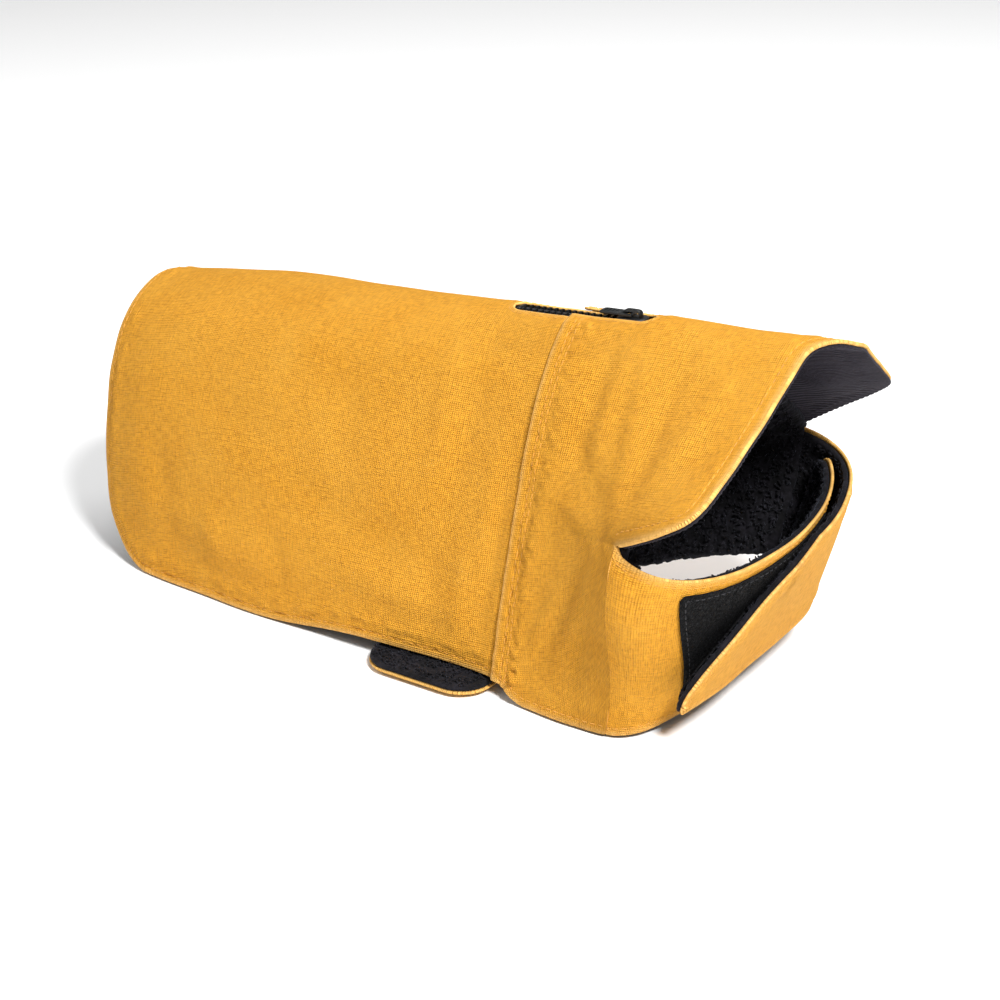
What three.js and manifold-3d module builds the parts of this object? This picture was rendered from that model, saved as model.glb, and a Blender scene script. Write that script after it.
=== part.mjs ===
// A small dog's coat in cotton duck with a pile lining. All sizes in millimetres.
// +X points to the neck, +Y to the dog's left, +Z up. The origin is on the floor under the middle.
import * as THREE from 'three';
import { mergeVertices } from 'three/addons/utils/BufferGeometryUtils.js';
import Module from 'manifold-3d';

const wasm = await Module();
wasm.setup();
const { lerp, smoothstep, degToRad } = THREE.MathUtils;

// Lengths along the spine
const backLength = 226; // rear hem to yoke seam
const yokeLength = 65; // yoke seam to the roots of the chest straps
const collarLength = 59; // strap roots to the front edge of the collar
const coatLength = backLength + yokeLength + collarLength;
const seamLap = 8; // how far the back panel runs under the yoke

// Heights of the ridge, and how it arches between them
const rearRidgeHeight = 124;
const neckRidgeHeight = 157.5;
const ridgeArch = 0.7;

// Half widths of the hem, and of the flank where the straps start
const hemHalfWidth = 62;
const rearDrawIn = 14; // the rear end is narrower by this
const chestHemHalfWidth = 67;
const chestHalfWidth = 74;
const rearDrawRun = 28;
const rearCornerRadius = 36;

// Roundness of a cross-section: 1 is a sharp ridge with straight sides, 3 a round back
const rearRoundness = 3.3;
const seamRoundness = 1.1;

// Collar corners, and the notch between collar and strap
const cornerReach = 39; // corner ahead of the notch
const cornerHalfWidth = 84;
const cornerHeight = 112.5;
const notchHeight = 88.5;
const rightSweep = 2.3; // how fast the collar's edge runs back from the ridge: the right side more
const leftSweep = 1.6;
const notchGap = 1.2;
const rootSlant = 8; // the strap root leans back by this from top to hem

// Cloth
const duck = 1.2;
const layerGap = 0.3;
const lapGap = 0.6; // between the two laps of the yoke seam
const pile = 3.2; // lining of the body
const strapPile = 2.4; // lining of the straps, pressed flatter
const patch = 1; // hook or loop tape
const corduroy = 1.2;
const liningSetback = 4; // the lining ends above the hem by this
const rootGap = 0.5;
const liningRootGap = 1.4; // the yoke's lining stops short of the strap roots

// How the coat stands: hems just off the floor, the left front raised
const hemClearance = 1;
const leftFrontLift = 27;
const leftLiftRun = 108;
const hemRiseRear = 60; // the hems rise over this length to clear the belly strap
const hemRiseFront = 16;
const bellyClear = 4;

// Chest straps: they wrap the chest on two rings, the left strap outside the right one
const ringForwardTop = 5; // ring centre ahead of the strap root, at notch height
const ringForwardHem = -6.5;
const ringReachTop = 38; // ring centre to its front
const ringReachHem = 19;
const rightRingShift = -2; // ring centre to the right of the middle
const leftRingShift = -5;
const wrapClearance = 1.1;
const wrapSplay = 1; // the outer strap stands further off at its lower edge
const leftSquareness = 2.2; // how much squarer than an ellipse its ring is at the hem
const rightStrapEnd = degToRad(75);
const rightStrapDrop = 7;
const rightStrapSag = 12; // how far its top edge dips between root and end
const rightStrapRise = 7;
const rightEndRadius = 16;
const rightStrapLength = 200;
const rightStrapRoot = degToRad(-113); // about where the right strap leaves the yoke
const rightPatchStartTop = degToRad(-54);
const rightPatchStartHem = degToRad(-38);
const rightPatchEnd = degToRad(30);
const leftStrapTip = degToRad(-37);
const leftSlopeStart = degToRad(10); // the top edge curves down from here to the tip
const leftSlopeCurve = 1.5;
const leftStrapDrop = 18;
const leftStrapBottom = 16;
const leftTipHeight = 7;
const leftTipRadius = 4;
const leftSlopeLength = 90;
const leftPatchEnd = degToRad(-8);
const patchMargin = 4;

// Belly strap, sewn to the left hem and lying flat across to the right
const bellyStrapWidth = 58;
const bellyStrapBehindSeam = 32; // its middle, behind the yoke seam
const bellyStrapReach = 14; // its free end, beyond the right hem
const bellyEndRadius = 14;
const bellyPatchLength = 50;
const bellyPile = 2;
const bellyLoopLength = 44;
const bellyLoopLow = 14;
const bellyLoopHigh = 44;

// Leash slot and its moulded zip
const slotBehindSeam = 31;
const slotAheadOfSeam = 36;
const slotWidth = 10;
const slotFacingWidth = 28;
const slotFacingEnd = 7;
const tapeWidth = 9;
const tapeThickness = 0.7;
const tapeEdgeGap = 0.9; // the tape leans in under the ridge, so its edge starts further out
const toothPitch = 3;
const toothReach = 2.3; // from the tape edge bead to the middle of the zip
const toothHeight = 2.4;
const teethApart = 1.6;
const sliderLength = 12.5;
const sliderPlate = 1.2;
const sliderClearance = 0.4;
const stopLength = 1.8;
const stopInset = 2.4; // from the round end of the slot
const crownLength = 8.4;
const crownWidth = 2.4;
const crownLeg = 1.3;
const crownWindow = 1.9;
const crownBeam = 1.1;
const pullLength = 15;
const pullWidth = 5.8;
const pullThickness = 1.1;
const pullEyeLength = 4.4;

// Places that follow from the sizes
const rearX = -coatLength / 2;
const seamX = rearX + backLength;
const rootX = seamX + yokeLength;
const collarX = rootX + collarLength;
const lap = duck + lapGap; // the yoke lies this far outside the back panel
const liningTop = -(duck + layerGap);
const bellyX = seamX - bellyStrapBehindSeam;
const bellyStack = patch + layerGap + duck + layerGap + bellyPile;
const bellyLift = bellyStack + 1;
const bellyStrapRootY = hemHalfWidth;
const bellyStrapEndY = -hemHalfWidth - bellyStrapReach;

const colours = {
  duck: ['#d99a35', 0.92, 0],
  pile: ['#121113', 1, 0],
  corduroy: ['#1b171f', 0.95, 0],
  tape: ['#151515', 0.9, 0],
  hookAndLoop: ['#1a1a1c', 0.9, 0],
  mouldedPlastic: ['#161617', 0.45, 0],
};

const coat = new THREE.Group();

function addPiece(name, geometry, finish) {
  const [color, roughness, metalness] = colours[finish];
  const material = new THREE.MeshStandardMaterial({ color, roughness, metalness });
  geometry.computeVertexNormals();
  const mesh = new THREE.Mesh(geometry, material);
  mesh.name = name;
  coat.add(mesh);
  return mesh;
}

// ---- The coat's surface ----

function ridgeHeight(x) {
  const along = Math.max((x - rearX) / coatLength, 0);
  return lerp(rearRidgeHeight, neckRidgeHeight, along ** ridgeArch);
}

// Half width of a cross-section at height z, before the front flares out
function plainHalfWidth(x, z) {
  const rear = rearDrawIn * Math.exp((rearX - x) / rearDrawRun);
  const chest = (chestHemHalfWidth - hemHalfWidth) * smoothstep(x, seamX - 20, seamX + 40);
  const roundness = lerp(rearRoundness, seamRoundness, smoothstep(x, rearX, seamX));
  const below = Math.min(Math.max(1 - z / ridgeHeight(x), 0), 1);
  return (hemHalfWidth - rear + chest) * Math.sqrt(1 - (1 - below) ** roundness);
}

function flareShape(x, z) {
  const below = Math.min(Math.max(1 - z / ridgeHeight(x), 0), 1);
  return Math.sin(Math.PI * below) ** 2.2;
}

// The flare grows as a power of the distance ahead of the seam, through notch and collar corner
const cornerX = rootX + cornerReach;
const flareAt = (halfWidth, x, z) => (halfWidth - plainHalfWidth(x, z)) / flareShape(x, z);
const rootFlare = flareAt(chestHalfWidth, rootX, notchHeight);
const cornerFlare = flareAt(cornerHalfWidth, cornerX, cornerHeight);
const flarePower = Math.log(cornerFlare / rootFlare) / Math.log((cornerX - seamX) / yokeLength);

function halfWidth(x, z) {
  const ahead = Math.max((x - seamX) / yokeLength, 0);
  return plainHalfWidth(x, z) + rootFlare * ahead ** flarePower * flareShape(x, z);
}

function hemHeight(x, side) {
  const rear = bellyX - bellyStrapWidth / 2;
  const front = bellyX + bellyStrapWidth / 2;
  const risen = smoothstep(x, rear - bellyClear - hemRiseRear, rear - bellyClear);
  const fallen = smoothstep(x, front + bellyClear, front + bellyClear + hemRiseFront);
  const raised = side > 0 ? leftFrontLift * smoothstep(x, rootX - leftLiftRun, rootX) : 0;
  return hemClearance + Math.max(bellyLift * risen * (1 - fallen), raised);
}

const rearEdgeX = (z) => rearX + roundedInset(z, rearCornerRadius);
const rootLineX = (z) => rootX - rootSlant * Math.max(1 - z / notchHeight, 0);

// How far an edge draws in at a distance from the end of a rounded corner
function roundedInset(distance, radius) {
  const left = Math.min(Math.max(radius - distance, 0), radius);
  return radius - Math.sqrt(radius ** 2 - left ** 2);
}

// ---- Cloth panels: a grid of points with normals, thickened along them ----

function makeGrid(columns, rows, pointAt) {
  const points = [];
  for (let i = 0; i <= columns; i++) {
    const column = [];
    for (let j = 0; j <= rows; j++) column.push(pointAt(i / columns, j));
    points.push(column);
  }
  return points.map((column, i) => column.map((point, j) => {
    const along = points[Math.min(i + 1, columns)][j].clone().sub(points[Math.max(i - 1, 0)][j]);
    const across = points[i][Math.min(j + 1, rows)].clone().sub(points[i][Math.max(j - 1, 0)]);
    return { point, normal: along.cross(across).normalize() };
  }));
}

// A line of grid points, shortened at its start: what lay in the cut length crowds up behind it
function shortened(line, length) {
  if (!length) return line;
  const reached = [0];
  for (let k = 1; k < line.length; k++) {
    reached.push(reached[k - 1] + line[k].point.distanceTo(line[k - 1].point));
  }
  return line.map((place, k) => {
    const wanted = length + 0.2 * k;
    if (reached[k] >= wanted) return place;
    const next = reached.findIndex((distance) => distance > wanted);
    const share = (wanted - reached[next - 1]) / (reached[next] - reached[next - 1]);
    return {
      point: line[next - 1].point.clone().lerp(line[next].point, share),
      normal: line[next - 1].normal.clone().lerp(line[next].normal, share).normalize(),
    };
  });
}

const turned = (grid) => grid[0].map((_, j) => grid.map((column) => column[j]));
const fromBothEnds = (line, length) => (
  shortened(shortened(line, length).reverse(), length).reverse()
);

// The same panel cut back from its first column and from both its hems
function trimmed(grid, fromStart, fromHems) {
  const shorter = turned(turned(grid).map((line) => shortened(line, fromStart)));
  return shorter.map((column) => fromBothEnds(column, fromHems));
}

function sheet(grid, outer, inner) {
  const columns = grid.length;
  const rows = grid[0].length;
  const positions = [];
  for (const offset of [outer, inner]) {
    for (const { point, normal } of grid.flat()) {
      positions.push(...point.clone().addScaledVector(normal, offset).toArray());
    }
  }
  const outside = (i, j) => i * rows + j;
  const inside = (i, j) => columns * rows + i * rows + j;
  const index = [];
  const quad = (a, b, c, d) => index.push(a, b, c, a, c, d);
  for (let i = 0; i < columns - 1; i++) {
    for (let j = 0; j < rows - 1; j++) {
      quad(outside(i, j), outside(i + 1, j), outside(i + 1, j + 1), outside(i, j + 1));
      quad(inside(i, j), inside(i, j + 1), inside(i + 1, j + 1), inside(i + 1, j));
    }
  }
  for (let i = 0; i < columns - 1; i++) {
    quad(outside(i, 0), inside(i, 0), inside(i + 1, 0), outside(i + 1, 0));
    quad(outside(i, rows - 1), outside(i + 1, rows - 1), inside(i + 1, rows - 1), inside(i, rows - 1));
  }
  for (let j = 0; j < rows - 1; j++) {
    quad(outside(0, j), outside(0, j + 1), inside(0, j + 1), inside(0, j));
    quad(outside(columns - 1, j), inside(columns - 1, j), inside(columns - 1, j + 1), outside(columns - 1, j + 1));
  }
  const geometry = new THREE.BufferGeometry();
  geometry.setAttribute('position', new THREE.Float32BufferAttribute(positions, 3));
  geometry.setIndex(index);
  return geometry;
}

// ---- Cutting and joining ----

function toSolid(geometry) {
  const plain = geometry.clone();
  plain.deleteAttribute('normal');
  plain.deleteAttribute('uv');
  const merged = mergeVertices(plain, 1e-4);
  const vertProperties = new Float32Array(merged.attributes.position.array);
  const triVerts = new Uint32Array(merged.index.array);
  return new wasm.Manifold(new wasm.Mesh({ numProp: 3, vertProperties, triVerts }));
}

function fromSolid(solid) {
  const mesh = solid.getMesh();
  const geometry = new THREE.BufferGeometry();
  geometry.setAttribute('position', new THREE.Float32BufferAttribute(mesh.vertProperties, 3));
  geometry.setIndex(Array.from(mesh.triVerts));
  return geometry;
}

const cut = (geometry, tool) => fromSolid(toSolid(geometry).subtract(toSolid(tool)));
const join = (...pieces) => fromSolid(pieces.map(toSolid).reduce((all, next) => all.add(next)));

function block(xRange, yRange, zRange) {
  const [x, y, z] = [xRange, yRange, zRange];
  const box = new THREE.BoxGeometry(x[1] - x[0], y[1] - y[0], z[1] - z[0]);
  return box.translate((x[0] + x[1]) / 2, (y[0] + y[1]) / 2, (z[0] + z[1]) / 2);
}

// A flat plate with rounded corners: radii are [right rear, right front, left front, left rear]
function plate(x0, x1, y0, y1, z0, z1, radii) {
  const shape = new THREE.Shape();
  const [a, b, c, d] = radii;
  shape.moveTo(x0 + a, y0);
  shape.lineTo(x1 - b, y0);
  if (b) shape.absarc(x1 - b, y0 + b, b, -Math.PI / 2, 0);
  shape.lineTo(x1, y1 - c);
  if (c) shape.absarc(x1 - c, y1 - c, c, 0, Math.PI / 2);
  shape.lineTo(x0 + d, y1);
  if (d) shape.absarc(x0 + d, y1 - d, d, Math.PI / 2, Math.PI);
  shape.lineTo(x0, y0 + a);
  if (a) shape.absarc(x0 + a, y0 + a, a, Math.PI, Math.PI * 1.5);
  const depth = z1 - z0;
  const geometry = new THREE.ExtrudeGeometry(shape, { depth, bevelEnabled: false, curveSegments: 5 });
  return geometry.translate(0, 0, z0);
}

// ---- Back panel and yoke ----

const flankRows = 12; // rows from the ridge down to one hem
const cornerRow = 4;
const notchRow = 6;

// Rows crowd together at the ridge, where the section turns, and at the hem
const rowShare = (row) => Math.sin((Math.PI / 2) * (Math.abs(row) / flankRows)) ** 2;

function surfacePoint(x, z, side) {
  return new THREE.Vector3(x, side * halfWidth(x, z), z);
}

function backPoint(along, index) {
  const row = index - flankRows;
  const side = Math.sign(row);
  const heightAt = (x) => lerp(ridgeHeight(x), hemHeight(x, side), rowShare(row));
  const x = lerp(rearEdgeX(heightAt(rearX)), seamX + seamLap, along);
  return surfacePoint(x, heightAt(x), side);
}

// Rows of the yoke bend, on their way forward, so that one ends at the collar corner and one at the notch
function frontShare(row, side) {
  const atCorner = (ridgeHeight(cornerX) - cornerHeight) / (ridgeHeight(cornerX) - hemHeight(rootX, side));
  const atNotch = (ridgeHeight(rootX) - notchHeight) / (ridgeHeight(rootX) - hemHeight(rootX, side));
  const share = rowShare(row);
  const steps = Math.abs(row);
  if (steps <= cornerRow) return (share / rowShare(cornerRow)) * atCorner;
  if (steps <= notchRow) {
    return lerp(atCorner, atNotch, (steps - cornerRow) / (notchRow - cornerRow));
  }
  return lerp(atNotch, 1, (share - rowShare(notchRow)) / (1 - rowShare(notchRow)));
}

function frontEdgeX(row, z) {
  const steps = Math.abs(row);
  const down = Math.min(steps / cornerRow, 1);
  const sweep = row < 0 ? 1 - (1 - down) ** rightSweep : down ** leftSweep;
  if (steps >= notchRow) return rootLineX(z);
  if (steps > cornerRow) return lerp(cornerX, rootX, (steps - cornerRow) / (notchRow - cornerRow));
  return lerp(collarX, cornerX, sweep);
}

function yokePoint(along, index) {
  const row = index - flankRows;
  const side = Math.sign(row);
  const share = lerp(rowShare(row), frontShare(row, side), along ** 2);
  const heightAt = (x) => lerp(ridgeHeight(x), hemHeight(x, side), share);
  const x = lerp(seamX, frontEdgeX(row, heightAt(rootX)), along);
  return surfacePoint(x, heightAt(x), side);
}

// The lining of the yoke ends at the strap roots, and the collar facing goes on from there
function yokeLiningPoint(along, index) {
  const row = index - flankRows;
  const side = Math.sign(row);
  const heightAt = (x) => lerp(ridgeHeight(x), hemHeight(x, side) + liningSetback, rowShare(row));
  const x = lerp(seamX + seamLap + layerGap, rootLineX(heightAt(rootX)) - liningRootGap, along);
  return surfacePoint(x, heightAt(x), side);
}

const facingRows = notchRow - 1;
function facingPoint(along, index) {
  const row = index - facingRows;
  const side = Math.sign(row);
  const share = frontShare(row, side);
  const heightAt = (x) => lerp(ridgeHeight(x), hemHeight(x, side), share);
  const x = lerp(rootX + rootGap, frontEdgeX(row, 0), along);
  return surfacePoint(x, heightAt(x), side);
}

const slotRear = seamX - slotBehindSeam;
const slotFront = seamX + slotAheadOfSeam;
const slotRadius = slotWidth / 2;
const facingRear = slotRear - slotFacingEnd;
const facingFront = slotFront + slotFacingEnd;
const slotCutter = (grow) => {
  const half = slotWidth / 2 + grow;
  const radii = Array(4).fill(slotRadius * 0.98);
  return plate(slotRear - grow, slotFront + grow, -half, half, 0, neckRidgeHeight * 2, radii);
};
const facingOpening = plate(
  facingRear - layerGap, facingFront + layerGap,
  -slotFacingWidth / 2 - layerGap, slotFacingWidth / 2 + layerGap,
  0, neckRidgeHeight * 2, [1, 1, 1, 1],
);

const backGrid = makeGrid(14, flankRows * 2, backPoint);
addPiece('back_shell', cut(sheet(backGrid, 0, -duck), slotCutter(0)), 'duck');

const yokeGrid = makeGrid(9, flankRows * 2, yokePoint);
addPiece('yoke_shell', cut(sheet(yokeGrid, lap, lap - duck), slotCutter(0)), 'duck');

const backLining = sheet(trimmed(backGrid, liningSetback, liningSetback), liningTop, liningTop - pile);
addPiece('back_lining', cut(backLining, facingOpening), 'pile');

const yokeLining = sheet(makeGrid(5, flankRows * 2, yokeLiningPoint), liningTop, liningTop - pile);
addPiece('yoke_lining', cut(yokeLining, facingOpening), 'pile');

const facingGrid = makeGrid(5, facingRows * 2, facingPoint);
addPiece('collar_facing', sheet(facingGrid, -layerGap, -layerGap - corduroy), 'corduroy');

// ---- Chest straps ----

const wrapGap = duck + layerGap + strapPile + patch + layerGap + wrapClearance;
const ringHeight = (v) => notchHeight * (1 - v);

// A point of a strap ring: angle 0 is the front, and heights run from the notch down to the floor
function ringPoint(ring, angle, z) {
  const v = Math.min(Math.max(1 - z / notchHeight, 0), 1);
  const centreX = rootX + lerp(ringForwardTop, ringForwardHem, v);
  const reach = lerp(ringReachTop, ringReachHem, v) + ring.gap + ring.splay * v;
  const power = 2 / (2 + ring.squareness * v);
  const eased = (share) => Math.sign(share) * Math.abs(share) ** power;
  const rootCos = -1 * ((centreX - rootLineX(z) - rootGap) / reach) ** (1 / power);
  const rootAngle = Math.acos(rootCos);
  const rootHalf = halfWidth(rootLineX(z), z) + lap;
  const spread = (rootHalf - ring.shift * ring.side) / eased(Math.sin(rootAngle));
  return {
    rootAngle: rootAngle * ring.side,
    point: new THREE.Vector3(
      centreX + reach * eased(Math.cos(angle)),
      ring.shift + spread * eased(Math.sin(angle)),
      z,
    ),
  };
}

const rightRing = { side: -1, shift: rightRingShift, gap: 0, splay: 0, squareness: 0 };
const leftRing = {
  side: 1, shift: leftRingShift, gap: wrapGap, splay: wrapSplay, squareness: leftSquareness,
};

const strapRows = 6;
const easeEnds = (along) => (1 - Math.cos(Math.PI * along)) / 2;

// A strap's grid takes its normals from the ring itself, as its columns crowd at a rounded end
function ringGrid(ring, columns, placeAt) {
  const step = 0.01;
  const at = (angle, z) => ringPoint(ring, angle, z).point;
  const placed = (i, j) => {
    const { angle, z } = placeAt(i / columns, j);
    const along = at(angle + step, z).sub(at(angle - step, z));
    const up = at(angle, z + step).sub(at(angle, z - step));
    return { point: at(angle, z), normal: along.cross(up).normalize() };
  };
  return Array.from({ length: columns + 1 }, (_, i) => (
    Array.from({ length: strapRows + 1 }, (__, j) => placed(i, j))
  ));
}

// Edges of the right strap at a share of its way from the root to its rounded end
function rightEdges(along) {
  const rounding = roundedInset((1 - along) * rightStrapLength, rightEndRadius);
  const sag = rightStrapSag * Math.sin(Math.PI * along);
  return {
    top: notchHeight - notchGap - rightStrapDrop * along - sag - rounding,
    bottom: hemClearance + rightStrapRise * along + rounding,
  };
}

function rightStrapPlace(along, row) {
  const eased = easeEnds(along);
  const { top, bottom } = rightEdges(eased);
  const z = lerp(bottom, top, row / strapRows);
  const { rootAngle } = ringPoint(rightRing, 0, z);
  return { angle: lerp(rootAngle, rightStrapEnd, eased), z };
}

// Edges of the left strap: the top edge falls to the tip, the bottom one rises to the raised hem
function leftEdges(angle, rootAngle) {
  const toRoot = Math.max((angle - leftSlopeStart) / (rootAngle - leftSlopeStart), 0);
  const toTip = Math.max((leftSlopeStart - angle) / (leftSlopeStart - leftStrapTip), 0);
  const shoulder = notchHeight - notchGap - leftStrapDrop * (1 - toRoot);
  const rounding = roundedInset((1 - toTip) * leftSlopeLength, leftTipRadius);
  const raised = hemHeight(rootX, 1) - leftStrapBottom;
  return {
    top: lerp(shoulder, leftStrapBottom + leftTipHeight, toTip ** leftSlopeCurve) - rounding,
    bottom: leftStrapBottom + raised * Math.max((toRoot - 0.5) * 2, 0) ** 1.5 + rounding,
  };
}

function leftStrapPlace(along, row) {
  const eased = easeEnds(along);
  const widest = ringPoint(leftRing, 0, notchHeight).rootAngle;
  const roughAngle = lerp(leftStrapTip, widest, eased);
  const { top, bottom } = leftEdges(roughAngle, widest);
  const z = lerp(bottom, top, row / strapRows);
  const { rootAngle } = ringPoint(leftRing, 0, z);
  return { angle: lerp(leftStrapTip, rootAngle, eased), z };
}

const rightStrapGrid = ringGrid(rightRing, 20, rightStrapPlace);
const leftStrapGrid = ringGrid(leftRing, 20, leftStrapPlace);
const strapLining = -(duck + layerGap);
const strapInside = strapLining - strapPile - layerGap;
addPiece('right_strap_shell', sheet(rightStrapGrid, 0, -duck), 'duck');
addPiece('right_strap_lining', sheet(rightStrapGrid, strapLining, strapLining - strapPile), 'pile');
addPiece('left_strap_shell', sheet(leftStrapGrid, 0, -duck), 'duck');
addPiece('left_strap_lining', sheet(leftStrapGrid, strapLining, strapLining - strapPile), 'pile');

// Loop tape on the outside of the right strap, hook tape inside the left strap's end
function rightPatchPlace(along, row) {
  const share = row / strapRows;
  const angle = lerp(lerp(rightPatchStartHem, rightPatchStartTop, share), rightPatchEnd, along);
  const { top, bottom } = rightEdges((angle - rightStrapRoot) / (rightStrapEnd - rightStrapRoot));
  return { angle, z: lerp(bottom + patchMargin, top - patchMargin, share) };
}

function leftPatchPlace(along, row) {
  const widest = ringPoint(leftRing, 0, notchHeight).rootAngle;
  const angle = lerp(leftStrapTip + degToRad(4), leftPatchEnd, along);
  const { top, bottom } = leftEdges(angle, widest);
  const margin = patchMargin * 0.6;
  return { angle, z: lerp(bottom + margin, top - margin, row / strapRows) };
}

const rightPatchGrid = ringGrid(rightRing, 12, rightPatchPlace);
const patchLift = layerGap * 2;
addPiece('right_strap_loop_patch', sheet(rightPatchGrid, patchLift + patch, patchLift), 'hookAndLoop');
const leftPatchGrid = ringGrid(leftRing, 6, leftPatchPlace);
const leftPatchTop = strapInside - layerGap;
addPiece('left_strap_hook_patch', sheet(leftPatchGrid, leftPatchTop, leftPatchTop - patch), 'hookAndLoop');

// ---- Belly strap ----

const bellyRear = bellyX - bellyStrapWidth / 2;
const bellyFront = bellyX + bellyStrapWidth / 2;
const bellyShellBottom = patch + layerGap;
const bellyLiningBottom = bellyShellBottom + duck + layerGap;
const bellyRadii = [bellyEndRadius, bellyEndRadius, 0, 0];
const bellyPiece = (margin, bottom, thickness) => plate(
  bellyRear + margin, bellyFront - margin,
  bellyStrapEndY + margin, bellyStrapRootY,
  bottom, bottom + thickness, bellyRadii,
);
addPiece('belly_strap_shell', bellyPiece(0, bellyShellBottom, duck), 'duck');
addPiece('belly_strap_lining', bellyPiece(1.5, bellyLiningBottom, bellyPile), 'pile');

const bellyPatch = plate(
  bellyRear + patchMargin, bellyFront - patchMargin,
  bellyStrapEndY + patchMargin, bellyStrapEndY + patchMargin + bellyPatchLength,
  0, patch, [bellyEndRadius - patchMargin, bellyEndRadius - patchMargin, 1, 1],
);
addPiece('belly_strap_hook_patch', bellyPatch, 'hookAndLoop');

function bellyLoopPoint(along, row) {
  const x = lerp(bellyX - bellyLoopLength / 2, bellyX + bellyLoopLength / 2, along);
  return surfacePoint(x, lerp(bellyLoopLow, bellyLoopHigh, row / 4), -1);
}
const bellyLoopTop = liningTop - pile - patchLift;
const bellyLoop = sheet(makeGrid(4, 4, bellyLoopPoint), bellyLoopTop, bellyLoopTop - patch);
addPiece('belly_loop_patch', bellyLoop, 'hookAndLoop');

// ---- Leash slot: facing, tapes and teeth ----

const tapeTop = -(duck + layerGap);
const facingTop = tapeTop - tapeThickness - layerGap;
const teethOuterY = teethApart / 2 + toothReach;
const tapeInnerY = teethOuterY + tapeEdgeGap;

// Height of the panel at a distance from the middle, on the straight runs between its rows
function panelHeight(x, y) {
  let [upper, lower] = [{ y: 0, z: ridgeHeight(x) }, null];
  for (let row = 1; row <= flankRows; row++) {
    const z = lerp(ridgeHeight(x), hemHeight(x, 1), rowShare(row));
    lower = { y: halfWidth(x, z), z };
    if (lower.y >= y) break;
    upper = lower;
  }
  return lerp(upper.z, lower.z, (y - upper.y) / (lower.y - upper.y));
}

function ridgeStrip(x0, x1, y0, y1, columns, rows) {
  return makeGrid(columns, rows, (along, row) => {
    const x = lerp(x0, x1, along);
    const y = lerp(y0, y1, row / rows);
    return new THREE.Vector3(x, y, panelHeight(x, Math.abs(y)));
  });
}

const facingHalf = slotFacingWidth / 2;
const slotFacing = sheet(
  ridgeStrip(facingRear, facingFront, -facingHalf, facingHalf, 6, 12),
  facingTop, facingTop - tapeThickness,
);
addPiece('slot_facing', cut(slotFacing, slotCutter(sliderClearance)), 'tape');

const tapeRear = slotRear - 3;
const tapeFront = slotFront + 3;
for (const [name, side] of [['right', -1], ['left', 1]]) {
  const edges = [side * tapeInnerY, side * (tapeInnerY + tapeWidth)].sort((a, b) => a - b);
  const strip = ridgeStrip(tapeRear, tapeFront, edges[0], edges[1], 6, 4);
  addPiece(`zip_tape_${name}`, sheet(strip, tapeTop, tapeTop - tapeThickness), 'tape');
}

// The zip lies on a straight line under the ridge: its own frame has x along it and z square to it
const zipX = (slotRear + slotFront) / 2;
const zipTilt = Math.atan2(ridgeHeight(slotFront) - ridgeHeight(slotRear), slotFront - slotRear);
const zipLength = (slotFront - slotRear) / Math.cos(zipTilt);
const zipLine = new THREE.Group();
zipLine.position.set(zipX, 0, (ridgeHeight(slotRear) + ridgeHeight(slotFront)) / 2);
zipLine.rotation.y = -zipTilt;
coat.add(zipLine);
const addToZip = (name, geometry, finish) => zipLine.add(addPiece(name, geometry, finish));

const toothTop = tapeTop + 0.8;
const toothBottom = toothTop - toothHeight;
const beadWidth = 0.9;

function teethOutline(side) {
  const inner = teethApart / 2;
  const outer = teethOuterY;
  const bead = outer - beadWidth;
  const start = -zipLength / 2 + stopInset + stopLength + sliderClearance;
  const count = Math.floor((-start * 2 - toothPitch / 2) / toothPitch);
  const shape = new THREE.Shape();
  shape.moveTo(start, side * outer);
  shape.lineTo(start, side * bead);
  for (let tooth = 0; tooth < count; tooth++) {
    const x = start + (tooth + (side > 0 ? 0.5 : 0)) * toothPitch;
    if (tooth > 0 || side > 0) shape.lineTo(x, side * bead);
    shape.lineTo(x + toothPitch * 0.06, side * inner);
    shape.lineTo(x + toothPitch * 0.44, side * inner);
    shape.lineTo(x + toothPitch * 0.5, side * bead);
  }
  const end = start + (count + 0.5) * toothPitch;
  shape.lineTo(end, side * bead);
  shape.lineTo(end, side * outer);
  return shape;
}

for (const [name, side] of [['right', -1], ['left', 1]]) {
  const options = { depth: toothHeight, bevelEnabled: false };
  const teeth = new THREE.ExtrudeGeometry(teethOutline(side), options).translate(0, 0, toothBottom);
  addToZip(`zip_teeth_${name}`, teeth, 'mouldedPlastic');
}

const stopHalf = slotWidth / 2 - sliderClearance;
const stopY = [-teethOuterY, teethOuterY];
const stopAt = (end) => block([end, end + stopLength], stopY, [toothBottom, toothTop]);
const topStopX = zipLength / 2 - stopInset - stopLength;
const bottomStopX = -zipLength / 2 + stopInset;
addToZip('zip_top_stop', stopAt(topStopX), 'mouldedPlastic');
addToZip('zip_bottom_stop', stopAt(bottomStopX), 'mouldedPlastic');

// ---- Slider and pull ----

const sliderX = topStopX - sliderClearance - sliderLength / 2;
const plateTop = [toothTop + layerGap, toothTop + layerGap + sliderPlate];
const plateBottom = [toothBottom - layerGap - sliderPlate, toothBottom - layerGap];
const sliderEnds = [sliderX - sliderLength / 2, sliderX + sliderLength / 2];
const flange = 0.7;
const sliderPlateOf = ([z0, z1], half) => plate(
  sliderEnds[0], sliderEnds[1], -half, half, z0, z1, [2.2, 3.2, 3.2, 2.2],
);
const flangeX = [sliderEnds[0] + 2.5, sliderEnds[1] - 3.5];
const flangeOf = (side) => block(
  flangeX, [side * stopHalf, side * (stopHalf - flange)].sort((a, b) => a - b),
  [tapeTop + 0.1, plateTop[0] + 0.2],
);
const post = block(
  [sliderEnds[1] - 5, sliderEnds[1] - 1.5], [-teethApart / 2 + layerGap, teethApart / 2 - layerGap],
  [plateBottom[1] - 0.2, plateTop[0] + 0.2],
);
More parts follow.
